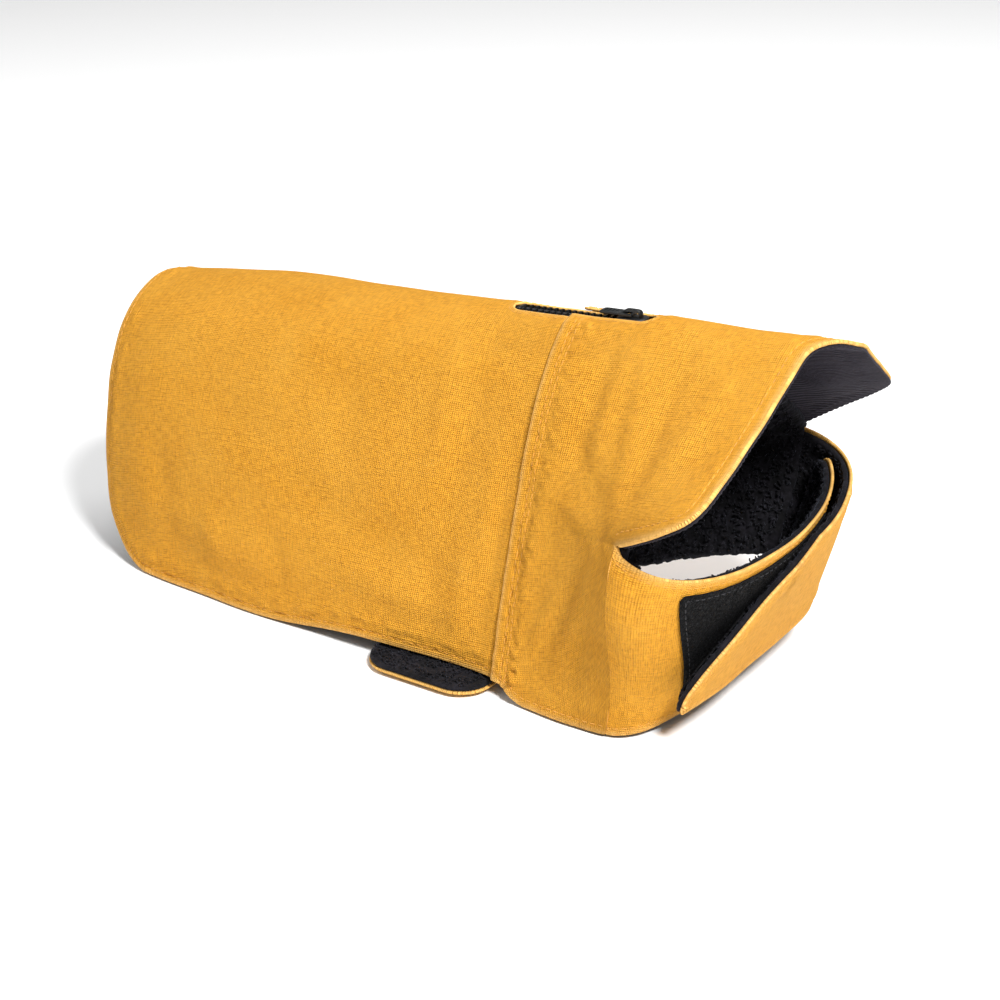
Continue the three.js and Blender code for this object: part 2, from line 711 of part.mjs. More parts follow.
const sliderBody = join(
  sliderPlateOf(plateTop, stopHalf), sliderPlateOf(plateBottom, tapeInnerY - sliderClearance),
  flangeOf(-1), flangeOf(1), post,
);
addToZip('slider_body', sliderBody, 'mouldedPlastic');

const crownBottom = plateTop[1] + layerGap;
const crownTop = crownBottom + crownWindow + crownBeam;
const crownEnds = [sliderX - crownLength / 2, sliderX + crownLength / 2];
const crownShape = new THREE.Shape();
crownShape.moveTo(crownEnds[0], crownBottom);
crownShape.lineTo(crownEnds[0], crownTop - 1);
crownShape.lineTo(crownEnds[0] + 1, crownTop);
crownShape.lineTo(crownEnds[1] - 1, crownTop);
crownShape.lineTo(crownEnds[1], crownTop - 1);
crownShape.lineTo(crownEnds[1], crownBottom);
crownShape.lineTo(crownEnds[1] - crownLeg, crownBottom);
crownShape.lineTo(crownEnds[1] - crownLeg, crownBottom + crownWindow);
crownShape.lineTo(crownEnds[0] + crownLeg, crownBottom + crownWindow);
crownShape.lineTo(crownEnds[0] + crownLeg, crownBottom);
const crown = new THREE.ExtrudeGeometry(crownShape, { depth: crownWidth, bevelEnabled: false });
crown.rotateX(Math.PI / 2).translate(0, crownWidth / 2, 0);
addToZip('slider_crown', crown, 'mouldedPlastic');

// The pull hangs on a bar under the crown and lies back over the closed teeth
const pullBarX = sliderX;
const pullBarZ = crownBottom + crownWindow / 2 - 0.1;
const pullOuter = plate(
  pullBarX - pullLength, pullBarX + pullThickness / 2, -pullWidth / 2, pullWidth / 2,
  pullBarZ - pullThickness / 2, pullBarZ + pullThickness / 2, [2, 0.4, 0.4, 2],
);
const eyeHalf = crownWidth / 2 + sliderClearance;
const pullEye = block(
  [pullBarX - pullThickness / 2 - pullEyeLength, pullBarX - pullThickness / 2], [-eyeHalf, eyeHalf],
  [pullBarZ - pullThickness, pullBarZ + pullThickness],
);
addToZip('pull_tab', cut(pullOuter, pullEye), 'mouldedPlastic');

export default coat;
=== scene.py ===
import math
import bpy
import numpy as np
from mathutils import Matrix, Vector
from mathutils.bvhtree import BVHTree
from mathutils.kdtree import KDTree


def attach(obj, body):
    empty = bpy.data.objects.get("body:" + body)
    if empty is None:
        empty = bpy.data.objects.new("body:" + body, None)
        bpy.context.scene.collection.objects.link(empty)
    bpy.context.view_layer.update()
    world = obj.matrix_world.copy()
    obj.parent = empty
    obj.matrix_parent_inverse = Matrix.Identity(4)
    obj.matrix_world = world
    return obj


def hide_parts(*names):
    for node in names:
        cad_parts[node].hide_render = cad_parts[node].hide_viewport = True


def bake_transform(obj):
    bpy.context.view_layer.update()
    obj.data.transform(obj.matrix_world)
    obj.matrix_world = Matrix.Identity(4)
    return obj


# A small dog's coat: cotton duck outside, pile lining, corduroy collar facing, zipped leash slot,
# two chest straps and a belly strap. Lengths here are in millimetres until a mesh is made.
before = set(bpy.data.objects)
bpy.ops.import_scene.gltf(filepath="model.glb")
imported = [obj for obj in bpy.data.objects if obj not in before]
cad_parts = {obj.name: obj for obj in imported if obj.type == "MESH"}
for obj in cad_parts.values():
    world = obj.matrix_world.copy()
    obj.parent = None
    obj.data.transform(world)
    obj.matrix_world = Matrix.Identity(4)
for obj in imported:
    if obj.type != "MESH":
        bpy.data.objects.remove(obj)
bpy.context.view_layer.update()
scene = bpy.context.scene
mm = 0.001

# Shape of the coat, the same sizes as the CAD model

coat = {
    "rearX": -175, "seamX": 51, "rootX": 116, "collarX": 175, "length": 350,
    "rearRidge": 124, "neckRidge": 157.5, "ridgeArch": 0.7,
    "rearHalf": 48, "hemHalf": 62, "chestHemHalf": 67, "chestHalf": 74,
    "rearCorner": 36, "rearRoundness": 3.3, "seamRoundness": 1.1,
    "rightSweep": 2.3, "leftSweep": 1.6,
    "cornerX": 155, "cornerHalf": 84, "cornerZ": 112.5,
    "notchZ": 88.5, "rootSlant": 8,
    "hemClearance": 1, "bellyLift": 5.8, "bellyRear": -10, "bellyFront": 48,
    "leftLift": 27, "leftLiftRun": 108,
    "duck": 1.2, "lap": 1.8, "lapUnder": 8, "pile": 3.2,
}


def lerp(a, b, share):
    return a + (b - a) * share


def smoothstep(x, low, high):
    share = np.clip((x - low) / (high - low), 0, 1)
    return share * share * (3 - 2 * share)


def unit(vectors):
    return vectors / np.maximum(np.linalg.norm(vectors, axis=-1, keepdims=True), 1e-9)


def roundedInset(distance, radius):
    left = np.clip(radius - distance, 0, radius)
    return radius - np.sqrt(radius ** 2 - left ** 2)


def softNoise(points, wavelength, seed):
    # smooth bumps of about one unit, from a few waves in seeded directions
    rng = np.random.default_rng(seed)
    total = np.zeros(len(points))
    for _ in range(10):
        direction = unit(rng.normal(size=3)) * 2 * math.pi / (wavelength * rng.uniform(0.7, 1.5))
        total += np.sin(points @ direction + rng.uniform(0, 2 * math.pi))
    return total / 3.2


def ridgeHeight(x):
    along = np.maximum((x - coat["rearX"]) / coat["length"], 0)
    return lerp(coat["rearRidge"], coat["neckRidge"], along ** coat["ridgeArch"])


def belowRidge(x, z):
    return np.clip(1 - z / ridgeHeight(x), 0, 1)


def plainHalfWidth(x, z):
    rear = (coat["rearHalf"] - coat["hemHalf"]) * np.exp((coat["rearX"] - x) / 28)
    chest = (coat["chestHemHalf"] - coat["hemHalf"]) * smoothstep(x, coat["seamX"] - 20, coat["seamX"] + 40)
    towardSeam = smoothstep(x, coat["rearX"], coat["seamX"])
    roundness = lerp(coat["rearRoundness"], coat["seamRoundness"], towardSeam)
    return (coat["hemHalf"] + rear + chest) * np.sqrt(1 - (1 - belowRidge(x, z)) ** roundness)


def flareShape(x, z):
    return np.abs(np.sin(math.pi * belowRidge(x, z))) ** 2.2


def flareAt(half, x, z):
    return (half - plainHalfWidth(x, z)) / flareShape(x, z)


yokeLength = coat["rootX"] - coat["seamX"]
rootFlare = flareAt(coat["chestHalf"], coat["rootX"], coat["notchZ"])
cornerFlare = flareAt(coat["cornerHalf"], coat["cornerX"], coat["cornerZ"])
flarePower = math.log(cornerFlare / rootFlare) / math.log((coat["cornerX"] - coat["seamX"]) / yokeLength)


def halfWidth(x, z):
    ahead = np.maximum((x - coat["seamX"]) / yokeLength, 0)
    return plainHalfWidth(x, z) + rootFlare * ahead ** flarePower * flareShape(x, z)


def hemHeight(x, side):
    rear, front = coat["bellyRear"], coat["bellyFront"]
    overStrap = smoothstep(x, rear - 64, rear - 4) * (1 - smoothstep(x, front + 4, front + 20))
    raised = coat["leftLift"] * smoothstep(x, coat["rootX"] - coat["leftLiftRun"], coat["rootX"])
    return coat["hemClearance"] + np.maximum(coat["bellyLift"] * overStrap, np.where(side > 0, raised, 0))


def rootLineX(z):
    return coat["rootX"] - coat["rootSlant"] * np.maximum(1 - z / coat["notchZ"], 0)


def heightAtHalf(x, half):
    # the height near the ridge where the cross-section is this wide
    low, high = ridgeHeight(x) * 0.6, ridgeHeight(x)
    for _ in range(30):
        middle = (low + high) / 2
        wide = halfWidth(x, middle) > half
        low, high = np.where(wide, middle, low), np.where(wide, high, middle)
    return (low + high) / 2


# Meshes: an open surface of quads is thickened into a cloth with rounded edges


def vertexNormals(points, faces):
    across = points[faces[:, 2]] - points[faces[:, 0]]
    along = points[faces[:, 3]] - points[faces[:, 1]]
    faceNormals = np.cross(across, along)
    total = np.zeros_like(points)
    for corner in range(4):
        np.add.at(total, faces[:, corner], faceNormals)
    return unit(total)


def gridFaces(indices):
    a, b = indices[:-1, :-1].ravel(), indices[1:, :-1].ravel()
    c, d = indices[1:, 1:].ravel(), indices[:-1, 1:].ravel()
    return np.stack([a, b, c, d], axis=1)


def gridFlat(grid, alongCoat=False):
    # lengths along and across the cloth, for its weave; a body panel's warp runs along the coat
    if alongCoat:
        across = np.linalg.norm(np.diff(grid[..., 1:], axis=1), axis=2)
        v = np.concatenate([np.zeros((grid.shape[0], 1)), np.cumsum(across, axis=1)], axis=1)
        v = v - v[:, grid.shape[1] // 2, None]
        return np.stack([grid[..., 0], v, np.zeros_like(v)], axis=2)
    along = np.linalg.norm(np.diff(grid, axis=0), axis=2)
    across = np.linalg.norm(np.diff(grid, axis=1), axis=2)
    middle = grid.shape[1] // 2
    u = np.concatenate([[0], np.cumsum(along[:, middle])])[:, None] + np.zeros(grid.shape[:2])
    v = np.concatenate([np.zeros((grid.shape[0], 1)), np.cumsum(across, axis=1)], axis=1)
    v = v - v[:, middle:middle + 1]
    return np.stack([u, v, np.zeros_like(u)], axis=2)


def surfaceOf(grid, split=None, uncut=None):
    # split is a column mask where the middle row is doubled, so that a slot opens there;
    # uncut is the same grid before the slot was opened, for the run of the weave
    columns, rows = grid.shape[:2]
    indices = np.arange(columns * rows).reshape(columns, rows)
    flat = (gridFlat(grid) if uncut is None else gridFlat(uncut, True)).reshape(-1, 3)
    points = grid.reshape(-1, 3)
    if split is not None:
        middle = (rows - 1) // 2
        indices[~split, middle + 1] = indices[~split, middle]
        quads = np.concatenate([gridFaces(indices[:, :middle + 1]), gridFaces(indices[:, middle + 1:])])
    else:
        quads = gridFaces(indices)
    used, quads = np.unique(quads, return_inverse=True)
    quads = quads.reshape(-1, 4)
    surface = {"points": points[used], "faces": quads, "flat": flat[used], "used": used}
    surface["normals"] = vertexNormals(surface["points"], quads)
    return surface


def boundaryOf(surface):
    # directed boundary edges, and at each of their points the way out of the cloth
    faces, count = surface["faces"], len(surface["points"])
    edges = np.concatenate([faces[:, [k, (k + 1) % 4]] for k in range(4)])
    keys, reverse = edges[:, 0] * count + edges[:, 1], edges[:, 1] * count + edges[:, 0]
    edges = edges[~np.isin(keys, reverse)]
    points, normals = surface["points"], surface["normals"]
    outward = np.cross(unit(points[edges[:, 1]] - points[edges[:, 0]]), normals[edges[:, 0]])
    total = np.zeros_like(points)
    np.add.at(total, edges[:, 0], outward)
    np.add.at(total, edges[:, 1], outward)
    return edges, unit(total)


def subset(surface, keep):
    # the part of a surface whose points are all kept
    faces = surface["faces"][keep[surface["faces"]].all(axis=1)]
    used, faces = np.unique(faces, return_inverse=True)
    part = {"points": surface["points"][used], "faces": faces.reshape(-1, 4), "flat": surface["flat"][used],
            "normals": surface["normals"][used]}
    return part, used


def distanceTo(points, line, reach=30):
    tree = KDTree(len(line))
    for index, place in enumerate(line):
        tree.insert(place, index)
    tree.balance()
    return np.array([min(tree.find(place)[2], reach) for place in points])


def thicken(surface, outer, inner, bulge=1.0, joined=None):
    points, normals, faces = surface["points"], surface["normals"], surface["faces"]
    count, steps = len(points), 4
    outer = np.zeros(count) + outer
    inner = np.zeros(count) + inner
    edges, outward = boundaryOf(surface)
    rim = np.unique(edges)
    slot = np.full(count, -1)
    slot[rim] = np.arange(len(rim))
    top = points + normals * outer[:, None]
    bottom = points + normals * inner[:, None]
    stacks = [top, bottom]
    half, middle = (outer - inner)[rim] / 2, (outer + inner)[rim] / 2
    swell = half * bulge
    if joined is not None:
        swell = np.where(joined[rim], 0, swell)
    for step in range(1, steps):
        angle = math.pi * step / steps
        lift = (middle + half * math.cos(angle))[:, None]
        reach = (swell * math.sin(angle))[:, None]
        stacks.append(points[rim] + normals[rim] * lift + outward[rim] * reach)
    rings = [edges]
    for step in range(1, steps):
        rings.append(2 * count + (step - 1) * len(rim) + slot[edges])
    rings.append(count + edges)
    quads = [faces, count + faces[:, ::-1]]
    for upper, lower in zip(rings[:-1], rings[1:]):
        quads.append(np.stack([upper[:, 1], upper[:, 0], lower[:, 0], lower[:, 1]], axis=1))
    flats = [surface["flat"]] * 2 + [surface["flat"][rim]] * (steps - 1)
    wearAndRibShadings = [surface.get("wearAndRibShading", np.zeros(count))] * 2
    wearAndRibShadings += [np.maximum(surface.get("wearAndRibShading", np.zeros(count))[rim], 0.8)] * (steps - 1)
    sharp = set()
    if joined is not None:
        kept = edges[joined[edges].all(axis=1)]
        sharp = {frozenset(pair) for pair in np.concatenate([kept, kept + count]).tolist()}
    return {
        "points": np.concatenate(stacks), "faces": np.concatenate(quads),
        "flat": np.concatenate(flats), "wearAndRibShading": np.concatenate(wearAndRibShadings), "sharp": sharp,
    }


def makePiece(name, mesh, material):
    data = bpy.data.meshes.new(name)
    data.from_pydata((mesh["points"] * mm).tolist(), [], mesh["faces"].tolist() + mesh.get("caps", []))
    data.polygons.foreach_set("use_smooth", np.ones(len(data.polygons), bool))
    if "flat" in mesh:
        data.attributes.new("flat", "FLOAT_VECTOR", "POINT").data.foreach_set(
            "vector", (mesh["flat"] * mm).astype(np.float32).ravel())
    if "wearAndRibShading" in mesh:
        data.attributes.new("wearAndRibShading", "FLOAT", "POINT").data.foreach_set(
            "value", mesh["wearAndRibShading"].astype(np.float32))
    if mesh.get("sharp"):
        for edge in data.edges:
            if frozenset(edge.vertices) in mesh["sharp"]:
                edge.use_edge_sharp = True
    data.validate()
    data.materials.append(material)
    piece = bpy.data.objects.new(name, data)
    scene.collection.objects.link(piece)
    return piece


def joinMeshes(meshes):
    points, faces, flats, wearAndRibShadings, caps, start = [], [], [], [], [], 0
    for mesh in meshes:
        caps += [[corner + start for corner in cap] for cap in mesh.get("caps", [])]
        points.append(mesh["points"])
        faces.append(mesh["faces"] + start)
        flats.append(mesh.get("flat", mesh["points"]))
        wearAndRibShadings.append(mesh.get("wearAndRibShading", np.zeros(len(mesh["points"]))))
        start += len(mesh["points"])
    return {
        "points": np.concatenate(points), "faces": np.concatenate(faces),
        "flat": np.concatenate(flats), "wearAndRibShading": np.concatenate(wearAndRibShadings), "caps": caps,
    }


def tubes(centres, normals, radii, sides):
    # many short tubes at once: centres is (tubes, steps, 3)
    count, steps = centres.shape[:2]
    tangents = unit(np.gradient(centres, axis=1))
    across = unit(np.cross(tangents, normals))
    up = np.cross(across, tangents)
    rings = []
    for side in range(sides):
        angle = 2 * math.pi * side / sides
        rings.append(centres + (up * math.cos(angle) + across * math.sin(angle)) * radii[..., None])
    points = np.stack(rings, axis=2)
    index = np.arange(count * steps * sides).reshape(count, steps, sides)
    turned = np.roll(index, -1, axis=2)
    faces = np.stack([index[:, :-1], turned[:, :-1], turned[:, 1:], index[:, 1:]], axis=-1)
    caps = []
    if sides == 4:
        caps = [index[:, 0, ::-1], index[:, -1]]
    points = points.reshape(-1, 3)
    flat = np.zeros((count, steps, sides, 3))
    flat[..., 0] = np.arange(steps)[None, :, None] * 0.4 + np.arange(count)[:, None, None] * 3.1
    flat[..., 1] = np.arange(sides)[None, None, :] * 0.4
    return {
        "points": points, "faces": np.concatenate([faces.reshape(-1, 4), *caps]),
        "flat": flat.reshape(-1, 3),
    }


# Materials


def linear(hexColour):
    values = [int(hexColour[place:place + 2], 16) / 255 for place in (1, 3, 5)]
    return [v / 12.92 if v <= 0.04045 else ((v + 0.055) / 1.055) ** 2.4 for v in values] + [1.0]


def newMaterial(name):
    made = bpy.data.materials.new(name)
    made.use_nodes = True
    made.node_tree.nodes.clear()
    return made, made.node_tree


def addNode(tree, kind, inputs=None, **settings):
    made = tree.nodes.new("ShaderNode" + kind)
    for name, value in settings.items():
        setattr(made, name, value)
    for socket, value in (inputs or {}).items():
        if isinstance(value, bpy.types.NodeSocket):
            tree.links.new(value, made.inputs[socket])
        else:
            made.inputs[socket].default_value = value
    return made


duckCloth = {
    "mid": "#EDA731", "light": "#F7BA49", "dark": "#AE6B14", "worn": "#F4C67B",
    "threadPitch": 1.7,  # yarns taken as 1.25 mm apart; drawn coarser, so that the weave shows
    "mottle": 26, "lightShare": 0.3, "bump": 1.0, "depth": 0.6, "roughness": 0.9, "sheen": 0.05,
}


def cottonDuck(name):
    # cotton duck, plain woven and washed: a matt face of small over-and-under bumps, paler at its folds
    made, tree = newMaterial(name)
    pitch = duckCloth["threadPitch"] * mm
    flat = addNode(tree, "Attribute", attribute_name="flat").outputs["Vector"]
    wearAndRibShading = addNode(tree, "Attribute", attribute_name="wearAndRibShading").outputs["Fac"]
    axes = addNode(tree, "SeparateXYZ", {0: flat})
    turns = 2 * math.pi / pitch
    warp = addNode(tree, "Math", {0: axes.outputs["X"], 1: turns}, operation="MULTIPLY").outputs[0]
    weft = addNode(tree, "Math", {0: axes.outputs["Y"], 1: turns}, operation="MULTIPLY").outputs[0]
    warp = addNode(tree, "Math", {0: warp}, operation="SINE").outputs[0]
    weft = addNode(tree, "Math", {0: weft}, operation="SINE").outputs[0]
    crossing = addNode(tree, "Math", {0: warp, 1: weft}, operation="MULTIPLY").outputs[0]
    bumps = addNode(tree, "Math", {0: crossing}, operation="ABSOLUTE").outputs[0]
    # uneven yarns: noise drawn out along the warp and along the weft
    alongWarp = addNode(tree, "Mapping", {"Vector": flat, "Scale": (240, 1100, 1)}).outputs[0]
    alongWeft = addNode(tree, "Mapping", {"Vector": flat, "Scale": (1100, 240, 1)}).outputs[0]
    warpNoise = addNode(tree, "TexNoise", {"Vector": alongWarp, "Scale": 1.0, "Detail": 2.0}).outputs[0]
    weftNoise = addNode(tree, "TexNoise", {"Vector": alongWeft, "Scale": 1.0, "Detail": 2.0}).outputs[0]
    yarns = addNode(tree, "Math", {0: warpNoise, 1: weftNoise}, operation="ADD").outputs[0]
    yarns = addNode(tree, "MapRange", {0: yarns, 1: 0.65, 2: 1.25, 3: 0.0, 4: 1.0}).outputs[0]
    place = addNode(tree, "TexCoord").outputs["Object"]
    mottle = addNode(tree, "TexNoise", {
        "Vector": place, "Scale": 1 / (duckCloth["mottle"] * mm), "Detail": 4.0, "Roughness": 0.6}).outputs[0]
    mottle = addNode(tree, "MapRange", {0: mottle, 1: 0.3, 2: 0.75, 3: 0.0, 4: 1.0}).outputs[0]
    # the uneven yarns' darker tone is laid in the hollows between the weave's bumps, and the bumps' tops are
    # left mid: real yarn variation, and painted shade in the weave
    dark = addNode(tree, "Mix", {0: yarns, 6: linear(duckCloth["dark"]), 7: linear(duckCloth["mid"])},
                   data_type="RGBA").outputs[2]
    base = addNode(tree, "Mix", {0: bumps, 6: dark, 7: linear(duckCloth["mid"])}, data_type="RGBA").outputs[2]
    lit = addNode(tree, "Math", {0: mottle, 1: duckCloth["lightShare"]}, operation="MULTIPLY").outputs[0]
    base = addNode(tree, "Mix", {0: lit, 6: base, 7: linear(duckCloth["light"])}, data_type="RGBA").outputs[2]
    patchy = addNode(tree, "MapRange", {0: yarns, 1: 0.0, 2: 1.0, 3: 0.35, 4: 1.0}).outputs[0]
    worn = addNode(tree, "Math", {0: wearAndRibShading, 1: patchy}, operation="MULTIPLY", use_clamp=True).outputs[0]
    base = addNode(tree, "Mix", {0: worn, 6: base, 7: linear(duckCloth["worn"])}, data_type="RGBA").outputs[2]
    relief = addNode(tree, "Math", {0: yarns, 1: 0.6, 2: bumps}, operation="MULTIPLY_ADD").outputs[0]
    normal = addNode(tree, "Bump", {"Strength": duckCloth["bump"], "Distance": duckCloth["depth"] * mm,
                                   "Height": relief}).outputs[0]
    rough = addNode(tree, "MapRange", {0: yarns, 1: 0.0, 2: 1.0, 3: duckCloth["roughness"] - 0.06,
                                       4: duckCloth["roughness"] + 0.06}).outputs[0]
    shader = addNode(tree, "BsdfPrincipled", {
        "Base Color": base, "Roughness": rough, "Normal": normal, "IOR": 1.47,
        "Sheen Weight": duckCloth["sheen"], "Sheen Roughness": 0.5, "Sheen Tint": linear("#FFE2B0"),
        "Specular IOR Level": 0.15})
    addNode(tree, "OutputMaterial", {"Surface": shader.outputs[0]})
    return made


pileCloth = {"deep": "#060507", "tip": "#1D1B21", "curl": 1.6, "sheen": 0.22}


def curledPile(name):
    # sherpa, knitted acrylic pile brushed into curls: matt black with a cool bloom on the curl tips
    made, tree = newMaterial(name)
    place = addNode(tree, "TexCoord").outputs["Object"]
    curls = addNode(tree, "TexNoise", {
        "Vector": place, "Scale": 1 / (pileCloth["curl"] * mm), "Detail": 3.0, "Roughness": 0.65}).outputs[0]
    clumps = addNode(tree, "TexNoise", {"Vector": place, "Scale": 140.0, "Detail": 2.0}).outputs[0]
    # the pile is painted near black in the hollows of the curl bump and grey on its tips, patched by the
    # clumps: painted shade and painted highlight
    mixed = addNode(tree, "Math", {0: curls, 1: clumps}, operation="MULTIPLY").outputs[0]
    share = addNode(tree, "MapRange", {0: mixed, 1: 0.16, 2: 0.40, 3: 0.0, 4: 1.0}).outputs[0]
    base = addNode(tree, "Mix", {0: share, 6: linear(pileCloth["deep"]), 7: linear(pileCloth["tip"])},
                   data_type="RGBA").outputs[2]
    normal = addNode(tree, "Bump", {"Strength": 0.8, "Distance": 0.6 * mm, "Height": curls}).outputs[0]
    shader = addNode(tree, "BsdfPrincipled", {
        "Base Color": base, "Roughness": 0.92, "Normal": normal, "IOR": 1.49,
        "Sheen Weight": pileCloth["sheen"], "Sheen Roughness": 0.35, "Sheen Tint": linear("#8E95A8"),
        "Specular IOR Level": 0.25})
    addNode(tree, "OutputMaterial", {"Surface": shader.outputs[0]})
    return made


# a fine cord has its wales about 1.6 mm apart; drawn coarser, so that they show
cordCloth = {"groove": "#050406", "crest": "#2A2530", "wale": 2.5, "sheen": 0.16}


def cottonCorduroy(name):
    # cotton corduroy, cut pile in wales: velvety crests with a painted highlight where they catch the light,
    # and black painted shade in the grooves between them
    made, tree = newMaterial(name)
    flat = addNode(tree, "Attribute", attribute_name="flat").outputs["Vector"]
    wearAndRibShading = addNode(tree, "Attribute", attribute_name="wearAndRibShading").outputs["Fac"]
    streaks = addNode(tree, "Mapping", {"Vector": flat, "Scale": (260, 1900, 1)}).outputs[0]
    brushed = addNode(tree, "TexNoise", {"Vector": streaks, "Scale": 1.0, "Detail": 3.0}).outputs[0]
    # the wale's rise paints the crests lighter and the grooves black, streaked by the brushing: painted
    # highlight and painted shade
    crest = addNode(tree, "Math", {0: wearAndRibShading, 1: brushed}, operation="MULTIPLY").outputs[0]
    crest = addNode(tree, "MapRange", {0: crest, 1: 0.05, 2: 0.65, 3: 0.0, 4: 1.0}).outputs[0]
    base = addNode(tree, "Mix", {0: crest, 6: linear(cordCloth["groove"]), 7: linear(cordCloth["crest"])},
                   data_type="RGBA").outputs[2]
    normal = addNode(tree, "Bump", {"Strength": 0.5, "Distance": 0.25 * mm, "Height": brushed}).outputs[0]
    shader = addNode(tree, "BsdfPrincipled", {
        "Base Color": base, "Roughness": 0.86, "Normal": normal, "IOR": 1.47,
        "Sheen Weight": cordCloth["sheen"], "Sheen Roughness": 0.4, "Sheen Tint": linear("#A89FB4"),
        "Specular IOR Level": 0.3})
    addNode(tree, "OutputMaterial", {"Surface": shader.outputs[0]})
    return made


def nylonLoop(name, coarse=1.0):
    # knitted nylon hook-and-loop tape: black with a salt of bright glints where the filaments turn
    made, tree = newMaterial(name)
    place = addNode(tree, "TexCoord").outputs["Object"]
    loops = addNode(tree, "TexVoronoi", {"Vector": place, "Scale": 1 / (0.9 * coarse * mm)}, feature="F1")
    fuzz = addNode(tree, "TexNoise", {"Vector": place, "Scale": 1 / (0.7 * mm), "Detail": 3.0}).outputs[0]
    glint = addNode(tree, "MapRange", {0: fuzz, 1: 0.6, 2: 0.74, 3: 0.0, 4: 1.0}).outputs[0]
    base = addNode(tree, "Mix", {0: glint, 6: linear("#040405"), 7: linear("#242529")},
                   data_type="RGBA").outputs[2]
    rough = addNode(tree, "MapRange", {0: fuzz, 1: 0.35, 2: 0.7, 3: 0.9, 4: 0.6}).outputs[0]
    relief = addNode(tree, "Math", {0: loops.outputs[0], 1: fuzz}, operation="ADD").outputs[0]
    normal = addNode(tree, "Bump", {"Strength": 0.9, "Distance": 0.4 * mm, "Height": relief}).outputs[0]
    shader = addNode(tree, "BsdfPrincipled", {
        "Base Color": base, "Roughness": rough, "Normal": normal, "IOR": 1.53,
        "Specular IOR Level": 0.14})
    addNode(tree, "OutputMaterial", {"Surface": shader.outputs[0]})
    return made


def wovenPolyester(name):
    # woven polyester tape: black, flat and slightly silky, with a fine twill rib
    made, tree = newMaterial(name)
    flat = addNode(tree, "Attribute", attribute_name="flat").outputs["Vector"]
    twill = addNode(tree, "TexWave", {"Vector": flat, "Scale": 1 / (1.1 * mm) / 2, "Distortion": 0.6,
                                      "Detail": 1.0}, bands_direction="DIAGONAL").outputs[1]
    # the twill's hollows are painted darker and its ribs lighter, after the same bands as its bump: painted
    # shade and painted highlight
    base = addNode(tree, "Mix", {0: twill, 6: linear("#0B0B0C"), 7: linear("#232326")},
                   data_type="RGBA").outputs[2]
    normal = addNode(tree, "Bump", {"Strength": 0.5, "Distance": 0.2 * mm, "Height": twill}).outputs[0]
    shader = addNode(tree, "BsdfPrincipled", {
        "Base Color": base, "Roughness": 0.7, "Normal": normal, "IOR": 1.58})
    addNode(tree, "OutputMaterial", {"Surface": shader.outputs[0]})
    return made


def mouldedAcetal(name):
    # injection-moulded acetal: near-black satin, faint orange-peel and softer, rubbed high spots
    made, tree = newMaterial(name)
    place = addNode(tree, "TexCoord").outputs["Object"]
    peel = addNode(tree, "TexNoise", {"Vector": place, "Scale": 1 / (0.8 * mm), "Detail": 3.0}).outputs[0]
    rubbed = addNode(tree, "NewGeometry").outputs["Pointiness"]
    rubbed = addNode(tree, "MapRange", {0: rubbed, 1: 0.51, 2: 0.62, 3: 0.0, 4: 0.5}).outputs[0]
    base = addNode(tree, "Mix", {0: rubbed, 6: linear("#0A0C0D"), 7: linear("#2E3133")},
                   data_type="RGBA").outputs[2]
    rough = addNode(tree, "MapRange", {0: peel, 1: 0.3, 2: 0.7, 3: 0.26, 4: 0.42}).outputs[0]
    normal = addNode(tree, "Bump", {"Strength": 0.15, "Distance": 0.1 * mm, "Height": peel}).outputs[0]
    shader = addNode(tree, "BsdfPrincipled", {
        "Base Color": base, "Roughness": rough, "Normal": normal, "IOR": 1.48})
    addNode(tree, "OutputMaterial", {"Surface": shader.outputs[0]})
    return made


def coreSpunThread(name, colour, shade):
    # core-spun sewing thread: two twisted plies, a little shinier than the cloth
    made, tree = newMaterial(name)
    flat = addNode(tree, "Attribute", attribute_name="flat").outputs["Vector"]
    twist = addNode(tree, "TexWave", {"Vector": flat, "Scale": 1 / (0.8 * mm) / 2, "Distortion": 0.4},
                    bands_direction="DIAGONAL").outputs[1]
    # the grooves between the twisted plies are painted in the darker colour, after the same bands as the
    # bump: painted shade
    base = addNode(tree, "Mix", {0: twist, 6: linear(shade), 7: linear(colour)}, data_type="RGBA").outputs[2]
    normal = addNode(tree, "Bump", {"Strength": 0.4, "Distance": 0.1 * mm, "Height": twist}).outputs[0]
    shader = addNode(tree, "BsdfPrincipled", {
        "Base Color": base, "Roughness": 0.6, "Normal": normal, "IOR": 1.5})
    addNode(tree, "OutputMaterial", {"Surface": shader.outputs[0]})
    return made


duckMaterial = cottonDuck("washedCottonDuck")
pileMaterial = curledPile("curledAcrylicPile")
corduroyMaterial = cottonCorduroy("cutPileCorduroy")
loopMaterial = nylonLoop("knittedNylonLoop")
hookMaterial = nylonLoop("mouldedNylonHook", coarse=1.3)
tapeMaterial = wovenPolyester("wovenPolyesterTape")
acetalMaterial = mouldedAcetal("mouldedAcetal")
threadMaterial = coreSpunThread("mustardSewingThread", "#E8A842", "#C4852B")
blackThreadMaterial = coreSpunThread("charcoalSewingThread", "#2C2C31", "#121215")
print("materials made")

# Where each piece goes: a coat piece is hung on the coat, a strap piece only has its place baked into its
# mesh


def onStrap(piece):
    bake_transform(piece)


def onBelly(piece):
    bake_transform(piece)


def onCoat(piece):
    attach(piece, "coat")


# Stitches and curls

stitching = {"length": 2.9, "gap": 0.6, "radius": 0.24, "sides": 6}


